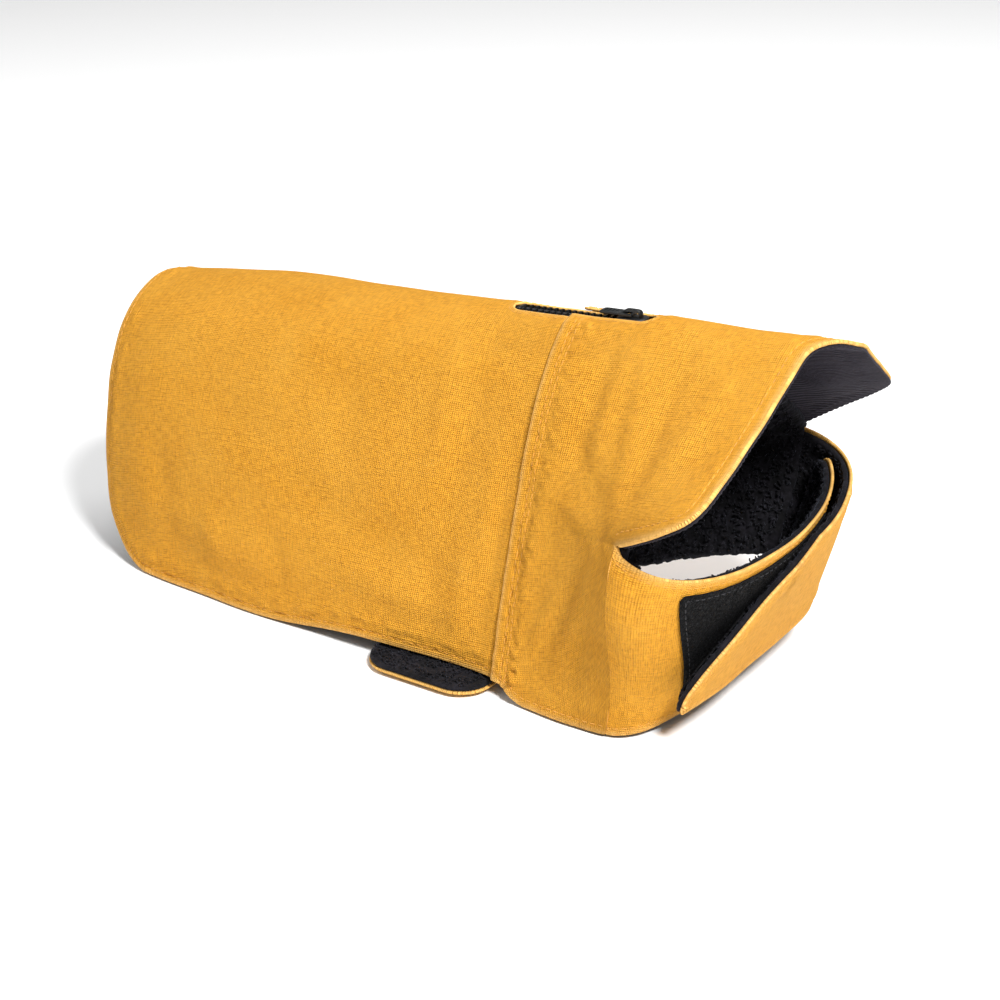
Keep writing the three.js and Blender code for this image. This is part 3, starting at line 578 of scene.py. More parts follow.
def stitchRow(line, normals, sink=0.16, settings=stitching):
    # line lies on the cloth; each stitch rises out of it, runs along it and dips back in
    lengths = np.concatenate([[0], np.cumsum(np.linalg.norm(np.diff(line, axis=0), axis=1))])
    pitch = settings["length"] + settings["gap"]
    count = int(lengths[-1] // pitch)
    if not count:
        return None
    steps = 7
    share = np.linspace(0, 1, steps)
    at = (np.arange(count)[:, None] + 0.15) * pitch + share[None, :] * settings["length"]
    centres = np.stack([np.interp(at, lengths, line[:, axis]) for axis in range(3)], axis=-1)
    ups = unit(np.stack([np.interp(at, lengths, normals[:, axis]) for axis in range(3)], axis=-1))
    rise = settings["radius"] * (1.0 - 2.4 * np.abs(2 * share - 1) ** 4) - sink
    centres = centres + ups * rise[None, :, None]
    radii = settings["radius"] * (1 - 0.35 * np.abs(2 * share - 1) ** 3)[None, :] + np.zeros((count, 1))
    return tubes(centres, ups, radii, settings["sides"])


def orderedEdge(surface, chosen):
    # the chosen boundary points in their order along the edge, as runs of point numbers
    edges, outward = boundaryOf(surface)
    edges = edges[chosen[edges].all(axis=1)]
    follow = dict(edges.tolist())
    starts = sorted(set(follow) - set(follow.values()))
    runs = []
    while follow:
        here = starts.pop() if starts else next(iter(follow))
        run = [here]
        while here in follow:
            here = follow.pop(here)
            run.append(here)
        runs.append(np.array(run))
    return runs, outward


def sewEdge(surface, shell, chosen, inset, sink=0.16):
    # rows of stitches at a distance inside the chosen edge, laid on the finished cloth
    count = len(surface["points"])
    tree = BVHTree.FromPolygons(shell["points"][:count].tolist(), surface["faces"].tolist())
    runs, outward = orderedEdge(surface, chosen)
    rows = []
    for run in runs:
        if len(run) < 4:
            continue
        places = shell["points"][run] - outward[run] * inset
        line, normals = [], []
        for place in places:
            spot, normal, _, _ = tree.find_nearest(place)
            if not line or (Vector(line[-1]) - spot).length > 0.25:
                line.append(tuple(spot))
                normals.append(tuple(normal))
        if len(line) > 3:
            row = stitchRow(np.array(line), np.array(normals), sink)
            if row is not None:
                rows.append(row)
    return rows


def hemRelief(distance, fold, width, stitchAt, pucker):
    # a turned hem: thicker band, a groove at the stitching, and the cloth swelling behind it
    band = fold * (1 - smoothstep(distance, width - 1.0, width + 0.8))
    groove = -(0.38 + 0.22 * pucker) * np.exp(-((distance - stitchAt) / 0.85) ** 2)
    swell = (0.55 + 0.25 * pucker) * np.exp(-((distance - width - 3.2) / 3.4) ** 2)
    return band + groove + swell


def curlField(surface, offset, chance, settings, seed):
    # small hooked tufts that grow from one side of a surface; chance is per point, from 0 to 1
    rng = np.random.default_rng(seed)
    faces, points = surface["faces"], surface["points"]
    corners = points[faces]
    area = np.linalg.norm(np.cross(corners[:, 2] - corners[:, 0], corners[:, 3] - corners[:, 1]), axis=1) / 2
    weight = area * chance[faces].mean(axis=1)
    count = int(weight.sum() * settings["perArea"])
    if count < 1:
        return None
    picked = rng.choice(len(faces), size=count, p=weight / weight.sum())
    mixed = rng.dirichlet(np.ones(4), size=count)
    base = (corners[picked] * mixed[..., None]).sum(axis=1)
    normal = unit((surface["normals"][faces[picked]] * mixed[..., None]).sum(axis=1))
    way = math.copysign(1, offset)
    up = normal * way
    base = base + normal * (offset - way * 0.35)
    sideways = unit(np.cross(up, rng.normal(size=(count, 3))))
    twist = np.cross(up, sideways)
    size = rng.uniform(*settings["size"], size=count)[:, None]
    turn = rng.uniform(2.4, 4.2, size=count)[:, None] * np.linspace(0, 1, settings["steps"])[None, :]
    rise = (np.sin(np.minimum(turn, 2.6)) * 0.7 + 0.16 * turn) * size
    run = (1 - np.cos(turn)) * size * 0.55
    drift = rng.normal(size=count)[:, None] * turn * size * 0.14
    centres = (base[:, None] + up[:, None] * rise[..., None] + sideways[:, None] * run[..., None]
               + twist[:, None] * drift[..., None])
    taper = 1 - 0.45 * np.linspace(0, 1, settings["steps"])
    radii = settings["radius"] * taper[None, :] + np.zeros((count, 1))
    normals = np.repeat(twist[:, None], settings["steps"], axis=1)
    return tubes(centres, normals, radii, 4)


# Back panel and yoke

panel = {
    "backColumns": 190, "yokeColumns": 132, "flankRows": 132,
    "ridgeDip": 11, "ridgeDipWidth": 0.12, "backHemDepth": 1.5,
    "hemFold": 0.45, "hemWidth": 4.6, "hemStitch": 3.1,
    "collarStitch": 5.4, "seamStitch": 4.2, "seamStitchInner": 6.8, "slotStitch": 1.7,
    "sway": 0.55,  # height of the soft unevenness all over
}
slotCut = {"rear": 19.6, "front": 87.4, "half": 5.3, "reach": 20.0}

# Soft folds: ends (x, z), half width and height, on the right flank and on the left one
backFolds = [
    ((37, 118), (34, 44), 5.0, 0.9), ((22, 138), (18, 60), 6.0, -1.3), ((6, 132), (8, 84), 5.0, 0.9),
    ((44, 96), (41, 18), 3.6, -1.1), ((28, 60), (30, 16), 5.0, 1.2), ((12, 52), (16, 14), 5.5, -1.1),
    ((-60, 62), (10, 44), 11, -1.5), ((-120, 95), (-40, 74), 13, -1.3), ((-150, 40), (-60, 26), 10, 1.2),
    ((-30, 34), (30, 26), 7, 1.3), ((-90, 118), (0, 126), 13, 1.0), ((-140, 74), (-126, 22), 8, -1.2),
    ((-105, 50), (-96, 18), 6.5, 1.0), ((-70, 46), (-60, 14), 6.0, -0.9), ((-44, 112), (-30, 70), 9, -0.8),
]
yokeFolds = [
    ((106, 96), (94, 150), 4.6, 1.1), ((112, 102), (112, 150), 4.4, -1.2), ((120, 108), (134, 148), 4.8, 1.2),
    ((128, 114), (149, 134), 5.0, -0.9), ((100, 92), (68, 112), 5.5, -0.8), ((96, 84), (66, 90), 4.5, 0.9),
    ((102, 76), (86, 30), 5.4, 1.0), ((94, 72), (72, 20), 5.0, -1.1), ((84, 60), (66, 16), 4.5, 0.9),
    ((68, 142), (64, 40), 4.5, 0.8), ((78, 144), (76, 96), 4.8, -1.1), ((86, 148), (86, 104), 4.2, 1.0),
    ((98, 50), (90, 12), 5.0, -0.8),
]


def foldRelief(points, folds, leftShift):
    total = np.zeros(len(points))
    for (x0, z0), (x1, z1), width, height in folds:
        for side in (-1, 1):
            shift = leftShift if side > 0 else 0.0
            start, end = np.array([x0 + shift, z0]), np.array([x1 - shift, z1])
            along = end - start
            flank = points[:, [0, 2]] - start
            share = np.clip(flank @ along / (along @ along), 0, 1)
            gap = np.linalg.norm(flank - share[:, None] * along, axis=1)
            fade = np.sin(math.pi * np.clip(share * 0.86 + 0.07, 0, 1))
            onSide = smoothstep(points[:, 1] * side, 4, 16)
            total += height * (1.1 if side > 0 else 1.35) * np.exp(-(gap / width) ** 2) * fade * onSide
    return total


def rowShare(s):
    return np.sin(math.pi / 2 * s) ** 2


def flankRowsOf():
    # positions from one hem over the ridge to the other; the ridge row comes twice, for the slot
    s = np.linspace(0, 1, panel["flankRows"] + 1)
    return np.concatenate([s[::-1], s]), np.concatenate([-np.ones(len(s)), np.ones(len(s))])


def openSlot(grid, side):
    # spreads the rows near the ridge so that the doubled ridge row opens into the slot
    x, y = grid[..., 0], grid[..., 1]
    ends = np.minimum(x - slotCut["rear"], slotCut["front"] - x)
    half = np.where(ends > 0, slotCut["half"] - roundedInset(np.maximum(ends, 0), slotCut["half"]), 0)
    near = (np.abs(y) < slotCut["reach"]) & (half > 0) & (grid[..., 2] > ridgeHeight(x) * 0.6)
    wanted = half + np.abs(y) * (1 - half / slotCut["reach"])
    wanted = np.where(near, wanted, np.abs(y))
    z = np.where(near, heightAtHalf(x, np.maximum(wanted, 0.01)), grid[..., 2])
    grid[..., 1] = np.where(near, side[None, :] * wanted, y)
    grid[..., 2] = z
    return half.max(axis=1) > 0


def backGrid(setback=0.0, hemUp=0.0, columns=None, endX=None):
    s, side = flankRowsOf()
    along = np.linspace(0, 1, (columns or panel["backColumns"]) + 1)[:, None]
    share = rowShare(s)[None, :]

    def heightAt(x):
        return lerp(ridgeHeight(x), hemHeight(x, side[None, :]) + hemUp, share)

    rear = coat["rearX"] + setback
    startX = rear + roundedInset(heightAt(np.full_like(share, rear)) - hemUp, coat["rearCorner"])
    x = lerp(startX, endX or (coat["seamX"] + coat["lapUnder"]), along)
    z = heightAt(x)
    grid = np.stack([x, side[None, :] * halfWidth(x, z), z], axis=-1)
    return grid, side


def blurred(values, centre, s, reach=0.08, sigma=0.022):
    # rounds a corner in a run of values near one place
    out = values.copy()
    spacing = s[1] - s[0]
    kernel = np.exp(-(np.arange(-20, 21) * spacing / sigma) ** 2 / 2)
    kernel /= kernel.sum()
    padded = np.pad(values, 20, mode="edge")
    soft = np.convolve(padded, kernel, mode="valid")
    near = np.exp(-((s - centre) / reach) ** 2)
    return lerp(out, soft, near)


def frontLine(sideValue, beyond=0.0):
    # where each row ends at the front: share of the way down, and the edge's x
    s = np.linspace(0, 1, panel["flankRows"] + 1)
    hem = hemHeight(np.array(float(coat["rootX"])), np.array(sideValue))
    cornerRidge, rootRidge = ridgeHeight(coat["cornerX"]), ridgeHeight(coat["rootX"])
    atCorner = (cornerRidge - coat["cornerZ"]) / (cornerRidge - hem)
    atNotch = (rootRidge - coat["notchZ"]) / (rootRidge - hem)
    corner, notch = 1 / 3, 1 / 2
    share = np.where(
        s <= corner, rowShare(s) / rowShare(corner) * atCorner,
        np.where(s <= notch, lerp(atCorner, atNotch, (s - corner) / (notch - corner)),
                 lerp(atNotch, 1, (rowShare(s) - rowShare(notch)) / (1 - rowShare(notch)))))
    z = lerp(rootRidge, hem, share)
    down = np.minimum(s / corner, 1)
    sweep = down ** coat["leftSweep"] if sideValue > 0 else 1 - (1 - down) ** coat["rightSweep"]
    edge = np.where(
        s >= notch, rootLineX(z),
        np.where(s > corner, lerp(coat["cornerX"], coat["rootX"], (s - corner) / (notch - corner)),
                 lerp(coat["collarX"], coat["cornerX"], sweep)))
    edge = blurred(edge, corner, s) + beyond * (1 - smoothstep(s, 0.47, 0.5))
    share = blurred(share, corner, s)
    return share, edge


def yokeGrid():
    s, side = flankRowsOf()
    along = np.linspace(0, 1, panel["yokeColumns"] + 1)[:, None]
    half = np.linspace(0, 1, panel["flankRows"] + 1)
    rightShare, rightEdge = frontLine(-1.0)
    leftShare, leftEdge = frontLine(1.0)
    front = np.concatenate([rightShare[::-1], leftShare])[None, :]
    # the two edges run into each other over the ridge in a soft turn
    signed = np.concatenate([-half[:0:-1], half])
    whole = blurred(np.concatenate([rightEdge[:0:-1], leftEdge]), 0, signed, 0.1, 0.03)
    whole = whole - panel["ridgeDip"] * np.exp(-((signed + 0.01) / panel["ridgeDipWidth"]) ** 2)
    edge = np.concatenate([whole[:len(half)], whole[len(half) - 1:]])[None, :]
    share = lerp(rowShare(s)[None, :], front, along ** 2)
    x = lerp(float(coat["seamX"]), edge, along)
    z = lerp(ridgeHeight(x), hemHeight(x, side[None, :]), share)
    return np.stack([x, side[None, :] * halfWidth(x, z), z], axis=-1), side


def offsetGrid(grid, amount):
    surface = {"points": grid.reshape(-1, 3)}
    faces = gridFaces(np.arange(grid.shape[0] * grid.shape[1]).reshape(grid.shape[:2]))
    # the doubled ridge row makes flat quads, which add nothing to the normals
    normals = vertexNormals(surface["points"], faces).reshape(grid.shape)
    sign = np.sign((normals * np.array([0, 0, 1])).sum() + (normals[..., 1] * grid[..., 1]).sum())
    normals = normals * sign
    middle = grid.shape[1] // 2
    shared = unit(normals[:, middle - 1] + normals[:, middle])
    normals[:, middle - 1] = np.where(np.abs(grid[:, middle - 1, 1:2]) < 0.05, shared, normals[:, middle - 1])
    normals[:, middle] = np.where(np.abs(grid[:, middle, 1:2]) < 0.05, shared, normals[:, middle])
    return grid + normals * amount


def collarFullness(points):
    # the front of the collar stands rounder than a fold would, the left side more
    fall = ridgeHeight(points[..., 0]) - points[..., 2]
    amount = np.where(points[..., 1] > 0, 3.2, 1.0)
    return (amount * smoothstep(points[..., 0], 120, 174) * smoothstep(fall, 1, 12)
            * (1 - smoothstep(fall, 10, 42)))[..., None]


# Chest strap rings, as in the CAD model
strap = {
    "columns": 200, "rows": 66,
    "forwardTop": 5, "forwardHem": -6.5, "reachTop": 38, "reachHem": 19,
    "rightEnd": math.radians(75), "rightDrop": 7, "rightSag": 12, "rightRise": 7, "rightRadius": 16,
    "leftTip": math.radians(-37), "leftSlope": math.radians(10), "leftDrop": 18, "leftBottom": 16,
    "tipHeight": 7, "tipRadius": 4, "pile": 2.4, "edgeStitch": 2.6,
    "gap": 6.3, "splay": 1, "leftSquareness": 2.2,
}
rightRing = {"side": -1, "shift": -2, "gap": 0, "splay": 0, "squareness": 0}
leftRing = {"side": 1, "shift": -5, "gap": strap["gap"], "splay": strap["splay"],
            "squareness": strap["leftSquareness"]}


def ringParts(ring, z):
    v = np.clip(1 - z / coat["notchZ"], 0, 1)
    centreX = coat["rootX"] + lerp(strap["forwardTop"], strap["forwardHem"], v)
    reach = lerp(strap["reachTop"], strap["reachHem"], v) + ring["gap"] + ring["splay"] * v
    power = 2 / (2 + ring["squareness"] * v)
    rootCos = -(((centreX - rootLineX(z)) / reach) ** (1 / power))
    rootAngle = np.arccos(np.clip(rootCos, -1, 1))
    rootHalf = halfWidth(rootLineX(z), z) + coat["lap"]
    spread = (rootHalf - ring["shift"] * ring["side"]) / np.abs(np.sin(rootAngle)) ** power
    return centreX, reach, power, rootAngle * ring["side"], spread


def ringPoint(ring, angle, z):
    centreX, reach, power, _, spread = ringParts(ring, z)
    cos, sin = np.cos(angle), np.sin(angle)
    return np.stack([
        centreX + reach * np.sign(cos) * np.abs(cos) ** power,
        ring["shift"] + spread * np.sign(sin) * np.abs(sin) ** power,
        z + np.zeros_like(angle)], axis=-1)


def rightEdges(along):
    rounding = roundedInset((1 - along) * 200, strap["rightRadius"])
    sag = strap["rightSag"] * np.sin(math.pi * along)
    settle = 1.4 * smoothstep(along, 0, 0.03)
    return (coat["notchZ"] - settle - strap["rightDrop"] * along - sag - rounding,
            coat["hemClearance"] + strap["rightRise"] * along + rounding)


def leftEdges(angle, rootAngle):
    toRoot = np.clip((angle - strap["leftSlope"]) / (rootAngle - strap["leftSlope"]), 0, 1)
    toTip = np.clip((strap["leftSlope"] - angle) / (strap["leftSlope"] - strap["leftTip"]), 0, 1)
    settle = 1.4 * smoothstep(1 - toRoot, 0, 0.05)
    shoulder = coat["notchZ"] - settle - strap["leftDrop"] * (1 - toRoot)
    rounding = roundedInset((1 - toTip) * 90, strap["tipRadius"])
    raised = hemHeight(np.array(float(coat["rootX"])), np.array(1.0)) - strap["leftBottom"]
    return (lerp(shoulder, strap["leftBottom"] + strap["tipHeight"], toTip) - rounding,
            strap["leftBottom"] + raised * np.maximum((toRoot - 0.5) * 2, 0) ** 1.5 + rounding)


def strapGrid(ring, rootHeights):
    # rows follow the yoke's rows at the root; columns run from the root to the free end
    along = np.linspace(0, 1, strap["columns"] + 1)
    eased = ((1 - np.cos(math.pi * along)) / 2)[:, None]
    top, bottom = rootHeights.max(), rootHeights.min()
    share = ((rootHeights - bottom) / (top - bottom))[None, :]
    rootAngleTop = ringParts(ring, np.array(coat["notchZ"] * 1.0))[3]
    if ring["side"] < 0:
        upper, lower = rightEdges(eased)
        end = strap["rightEnd"]
    else:
        rough = lerp(rootAngleTop, strap["leftTip"], eased)
        upper, lower = leftEdges(rough, rootAngleTop)
        end = strap["leftTip"]
    z = lerp(lower, upper, share)
    z[0] = rootHeights
    angle = lerp(ringParts(ring, z)[3], end, eased)
    return ringPoint(ring, angle, z)


turnRadius = 6.5  # how softly the yoke turns into its straps


def meet(yoke, strapPoints, rows):
    # brings the strap's root onto the yoke's edge and eases the turn between them
    shift = yoke[-1, rows] - strapPoints[0]
    run = np.linalg.norm(strapPoints - strapPoints[0], axis=-1)
    strapPoints = strapPoints + shift[None] * np.exp(-(run / 9) ** 2)[..., None]
    behind, ahead = 70, 120
    joint = np.concatenate([yoke[-behind:, rows], strapPoints[1:ahead]])
    steps = np.linalg.norm(np.diff(joint, axis=0), axis=-1)
    reached = np.concatenate([np.zeros((1, len(rows))), np.cumsum(steps, axis=0)])
    reached -= reached[behind - 1]
    share = (np.gradient(reached, axis=0))[None] * np.exp(
        -((reached[:, None] - reached[None]) / turnRadius) ** 2 / 2)
    smooth = np.einsum("abr,brk->ark", share, joint) / share.sum(axis=1)[..., None]
    hold = smoothstep(np.linspace(0, 1, len(rows)), 0.0, 0.12)[None, :] * np.exp(-(reached / 17) ** 4)
    joint += (smooth - joint) * hold[..., None]
    yoke[-behind:, rows] = joint[:behind]
    strapPoints[0] = joint[behind - 1]
    strapPoints[1:ahead] = joint[behind:]
    return strapPoints


def outwardFaces(surface, centre):
    # turns the faces so that the normals point away from the middle of the coat
    away = ((surface["points"] - centre) * surface["normals"]).sum()
    if away < 0:
        surface["faces"] = surface["faces"][:, ::-1].copy()
        surface["normals"] = -surface["normals"]
    return surface


middleOfCoat = np.array([0.0, 0.0, 60.0])
middleOfChest = np.array([112.0, 0.0, 45.0])

backPoints, rowSide = backGrid()
backUncut = backPoints.copy()
backOpen = openSlot(backPoints, rowSide)
back = outwardFaces(surfaceOf(backPoints, backOpen, backUncut), middleOfCoat)

yokePoints, _ = yokeGrid()
yokeUncut = yokePoints.copy()
yokeOpen = openSlot(yokePoints, rowSide)
yokePoints = offsetGrid(yokePoints, coat["lap"] + collarFullness(yokePoints))
flankCount = panel["flankRows"]
notchRow = flankCount // 2
rightRows = np.arange(flankCount - notchRow, -1, -1)  # from the notch down to the right hem
leftRows = np.arange(flankCount + 1 + notchRow, 2 * flankCount + 2)
rightStrapPoints = strapGrid(rightRing, yokePoints[-1, rightRows, 2])
leftStrapPoints = strapGrid(leftRing, yokePoints[-1, leftRows, 2])
rightStrapPoints = meet(yokePoints, rightStrapPoints, rightRows)
leftStrapPoints = meet(yokePoints, leftStrapPoints, leftRows)
yoke = outwardFaces(surfaceOf(yokePoints, yokeOpen, yokeUncut), middleOfCoat)
print("panels laid out")


def gridColumn(surface, rows):
    return surface["used"] // rows, surface["used"] % rows


rowCount = 2 * flankCount + 2


def edgeLine(surface, chosen):
    edges, _ = boundaryOf(surface)
    edges = edges[chosen[edges].all(axis=1)]
    points = surface["points"]
    pieces = [points[edges[:, 0]] * (1 - t) + points[edges[:, 1]] * t for t in (0, 0.5)]
    return np.concatenate(pieces)


def wholeEdge(surface):
    return edgeLine(surface, np.ones(len(surface["points"]), bool))


# Back panel: hem all round except at the seam, which runs under the yoke
column, row = gridColumn(back, rowCount)
backRear = column == 0
backHem = (row == 0) | (row == rowCount - 1)
backSlot = (np.abs(row - flankCount - 0.5) < 1) & (back["points"][:, 0] > slotCut["rear"] - 1)
hemEdge = backRear | backHem
pucker = softNoise(back["points"], 5.5, 11)
toHem = distanceTo(back["points"], edgeLine(back, hemEdge))
toSlot = distanceTo(back["points"], edgeLine(back, backSlot))
relief = panel["backHemDepth"] * hemRelief(toHem, panel["hemFold"], panel["hemWidth"],
                                           panel["hemStitch"], pucker)
relief += hemRelief(toSlot, 0.25, 2.6, panel["slotStitch"], pucker) * 0.6
relief += foldRelief(back["points"], backFolds, 6) + panel["sway"] * softNoise(back["points"], 70, 5)
relief += 0.16 * softNoise(back["points"], 22, 6)
underLap = smoothstep(back["points"][:, 0], coat["seamX"] - 5, coat["seamX"] - 1)
relief = lerp(relief, np.minimum(relief, 0) * 0.3 - 0.1, underLap)
back["wearAndRibShading"] = np.exp(-(toHem / 1.6) ** 2) * 0.6 + 0.35 * np.exp(-(toSlot / 1.2) ** 2)
thickness = coat["duck"] + 0.1 * np.exp(-(toHem / 3) ** 2)
backRelief, backToHem = relief, toHem
backShell = thicken(back, relief, relief - thickness)
backPanel = makePiece("back_panel", backShell, duckMaterial)
backStitches = makePiece("back_panel_stitches", joinMeshes(
    sewEdge(back, backShell, hemEdge, panel["hemStitch"])
    + sewEdge(back, backShell, backSlot & (back["points"][:, 0] < coat["seamX"] - 1), panel["slotStitch"])),
    threadMaterial)

# Yoke: folded seam edge, turned collar and notch edges, hems at both sides
column, row = gridColumn(yoke, rowCount)
yokeSeam = column == 0
yokeHem = (row == 0) | (row == rowCount - 1)
lastColumn = column == panel["yokeColumns"]
rootRow = (row <= flankCount - notchRow) | (row >= flankCount + 1 + notchRow)
yokeRoot = lastColumn & rootRow
innerRows = (row >= flankCount - notchRow) & (row <= flankCount + 1 + notchRow)
yokeFront = lastColumn & innerRows
yokeSlot = (np.abs(row - flankCount - 0.5) < 1) & (yoke["points"][:, 0] < slotCut["front"] + 1)
pucker = softNoise(yoke["points"], 5.0, 12)
toSeam = distanceTo(yoke["points"], edgeLine(yoke, yokeSeam))
toFront = distanceTo(yoke["points"], edgeLine(yoke, yokeFront))
toHem = distanceTo(yoke["points"], edgeLine(yoke, yokeHem))
toSlot = distanceTo(yoke["points"], edgeLine(yoke, yokeSlot & ~yokeSeam))
relief = hemRelief(toHem, panel["hemFold"], panel["hemWidth"], panel["hemStitch"], pucker)
relief += hemRelief(toFront, 0.35, panel["collarStitch"] + 1.4, panel["collarStitch"], pucker) * 0.8
offSlot = smoothstep(toSlot, 1, 7)
seamRelief = hemRelief(toSeam, 0.3, panel["seamStitchInner"] + 1.2, panel["seamStitch"], pucker * 1.5)
seamRelief -= (0.3 + 0.2 * pucker) * np.exp(-((toSeam - panel["seamStitchInner"]) / 0.9) ** 2)
relief += 1.4 * seamRelief * offSlot
relief += hemRelief(toSlot, 0.25, 2.6, panel["slotStitch"], pucker) * 0.6
relief += 0.3 * np.exp(-((toSeam - 6) / 4) ** 2) * softNoise(yoke["points"], 6.5, 15) * offSlot
yokeFoldRelief = foldRelief(yoke["points"], yokeFolds, 5)
yokeFoldRelief += 0.4 * softNoise(yoke["points"], 60, 7) + 0.16 * softNoise(yoke["points"], 20, 8)
toRoot = distanceTo(yoke["points"], edgeLine(yoke, yokeRoot))
yokeFoldRelief *= smoothstep(toRoot, 0, 16)
relief += yokeFoldRelief
yoke["wearAndRibShading"] = (0.7 * np.exp(-(toFront / 1.8) ** 2) + 0.6 * np.exp(-(toHem / 1.6) ** 2)
                + 0.45 * np.exp(-(toSeam / 1.2) ** 2) + 0.35 * np.exp(-(toSlot / 1.2) ** 2))
thickness = coat["duck"] + 0.55 * np.exp(-(toFront / 3.4) ** 4) + 0.1 * np.exp(-(toHem / 3) ** 2)
thickness += 0.3 * np.exp(-(toSeam / 2) ** 4) * offSlot
yokeRelief, yokeToHem = relief, toHem
yokeShell = thicken(yoke, relief, relief - thickness, joined=yokeRoot)
yokePanel = makePiece("yoke_panel", yokeShell, duckMaterial)
yokeStitches = makePiece("yoke_panel_stitches", joinMeshes(
    sewEdge(yoke, yokeShell, yokeSeam, panel["seamStitch"])
    + sewEdge(yoke, yokeShell, yokeSeam, panel["seamStitchInner"])
    + sewEdge(yoke, yokeShell, yokeFront, panel["collarStitch"])
    + sewEdge(yoke, yokeShell, yokeHem, panel["hemStitch"])
    + sewEdge(yoke, yokeShell, yokeSlot & ~yokeSeam, panel["slotStitch"])), threadMaterial)
for piece in (backPanel, backStitches, yokePanel, yokeStitches):
    onCoat(piece)
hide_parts("back_shell")
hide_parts("yoke_shell")
print("duck panels sewn")

# Chest straps


def strapSurface(points):
    surface = outwardFaces(surfaceOf(points), middleOfChest)
    column, row = surface["used"] // points.shape[1], surface["used"] % points.shape[1]
    surface["root"] = column == 0
    surface["free"] = (row == 0) | (row == points.shape[1] - 1) | (column == points.shape[0] - 1)
    return surface


def strapSway(points, seed):
    return 0.3 * softNoise(points, 40, seed + 1)


def makeStrap(word, points, side, material, seed):
    surface = strapSurface(points)
    toEdge = distanceTo(surface["points"], edgeLine(surface, surface["free"]))
    toRoot = distanceTo(surface["points"], surface["points"][surface["root"]])
    pucker = softNoise(surface["points"], 5, seed)
    relief = hemRelief(toEdge, 0.3, strap["edgeStitch"] + 1.2, strap["edgeStitch"], pucker) * 0.8
    relief *= smoothstep(toRoot, 0, 5)
    relief += strapSway(surface["points"], seed) * smoothstep(toRoot, 2, 16)
    surface["relief"] = relief
    # the left strap's outer face is rubbed pale towards its end
    faded = 0.75 * smoothstep(toRoot, 12, 60) if side > 0 else 0
    surface["wearAndRibShading"] = np.maximum(0.6 * np.exp(-(toEdge / 1.8) ** 2), faded)
    thickness = coat["duck"] + 0.25 * np.exp(-(toEdge / 3) ** 4)
    shell = thicken(surface, relief, relief - thickness, joined=surface["root"])
    canvas = makePiece(f"{word}_strap_canvas", shell, material)
    stitches = makePiece(f"{word}_strap_stitches", joinMeshes(
        sewEdge(surface, shell, surface["free"], strap["edgeStitch"])), threadMaterial)
    onStrap(canvas)
    onStrap(stitches)
    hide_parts(f"{word}_strap_shell")
    return surface


rightStrap = makeStrap("right", rightStrapPoints, -1, duckMaterial, 31)
leftStrap = makeStrap("left", leftStrapPoints, 1, duckMaterial, 41)
print("chest straps sewn")

# Linings

lining = {"yokeDeep": -6.4, "nub": 0.55, "hemGap": 1.0, "strapNub": 0.35}
bodyCurls = {"perArea": 0.24, "size": (1.0, 1.7), "radius": 0.46, "steps": 6}
strapCurls = {"perArea": 0.36, "size": (0.8, 1.35), "radius": 0.42, "steps": 6}


def nubs(points, seed):
    return 0.6 * softNoise(points, 5.0, seed) + 0.45 * softNoise(points, 3.0, seed + 1)


def makePile(name, surface, top, bottom, nub, curls, chance, seed):
    # pile is knitted on a ground cloth at its top face; the curls grow from its other face
    bottom = bottom + nub * nubs(surface["points"], seed)
    shell = thicken(surface, top, bottom, bulge=1.2)
    shell["wearAndRibShading"] = shell["wearAndRibShading"] * 0
    piece = makePiece(name, shell, pileMaterial)
    edge = np.exp(-(distanceTo(surface["points"], wholeEdge(surface)) / 3) ** 2)
    turned = {**surface, "points": surface["points"] + surface["normals"] * bottom[:, None]}
    tufts = [curlField(turned, -0.01, np.clip(chance + edge * 0.5, 0, 1), curls, seed)]
    rim = {**surface, "points": surface["points"] + surface["normals"] * ((top + bottom) / 2)[:, None]}
    tufts.append(curlField(rim, -0.01, edge * (edge > 0.75) * 1.6, curls, seed + 5))
    tufts = [tuft for tuft in tufts if tuft is not None]
    return piece, makePiece(name + "_curls", joinMeshes(tufts), pileMaterial)


def inFacing(points):
    return ((np.abs(points[:, 1]) < 14.6) & (points[:, 0] > slotCut["rear"] - 7.4)
            & (points[:, 0] < slotCut["front"] + 7.4) & (points[:, 2] > 120))


backKeep = (backToHem > lining["hemGap"] + 0.6) & ~inFacing(back["points"])
backPileSurface, used = subset(back, backKeep)
backTop = backRelief[used] - coat["duck"] - 0.25
neckSide = smoothstep(backPileSurface["points"][:, 0], 0, 60)
backPile, backCurls = makePile(
    "back_pile", backPileSurface, backTop, backTop - coat["pile"], lining["nub"], bodyCurls,
    0.25 + 0.5 * neckSide, 51)

yokeKeep = ((yoke["points"][:, 0] > coat["seamX"] + coat["lapUnder"] + 0.2)
            & (yoke["points"][:, 0] < coat["rootX"] + 0.2)
            & (yokeToHem > lining["hemGap"] + 1.6) & ~inFacing(yoke["points"]))
yokePileSurface, used = subset(yoke, yokeKeep)
yokeTop = yokeRelief[used] - coat["duck"] - 0.25
yokePile, yokeCurls = makePile(
    "yoke_pile", yokePileSurface, yokeTop, np.full(len(used), lining["yokeDeep"]) + yokeRelief[used] * 0.7,
    lining["nub"], bodyCurls, np.ones(len(used)), 61)
for piece in (backPile, backCurls, yokePile, yokeCurls):
    onCoat(piece)
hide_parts("back_lining")
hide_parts("yoke_lining")
print("body linings made")

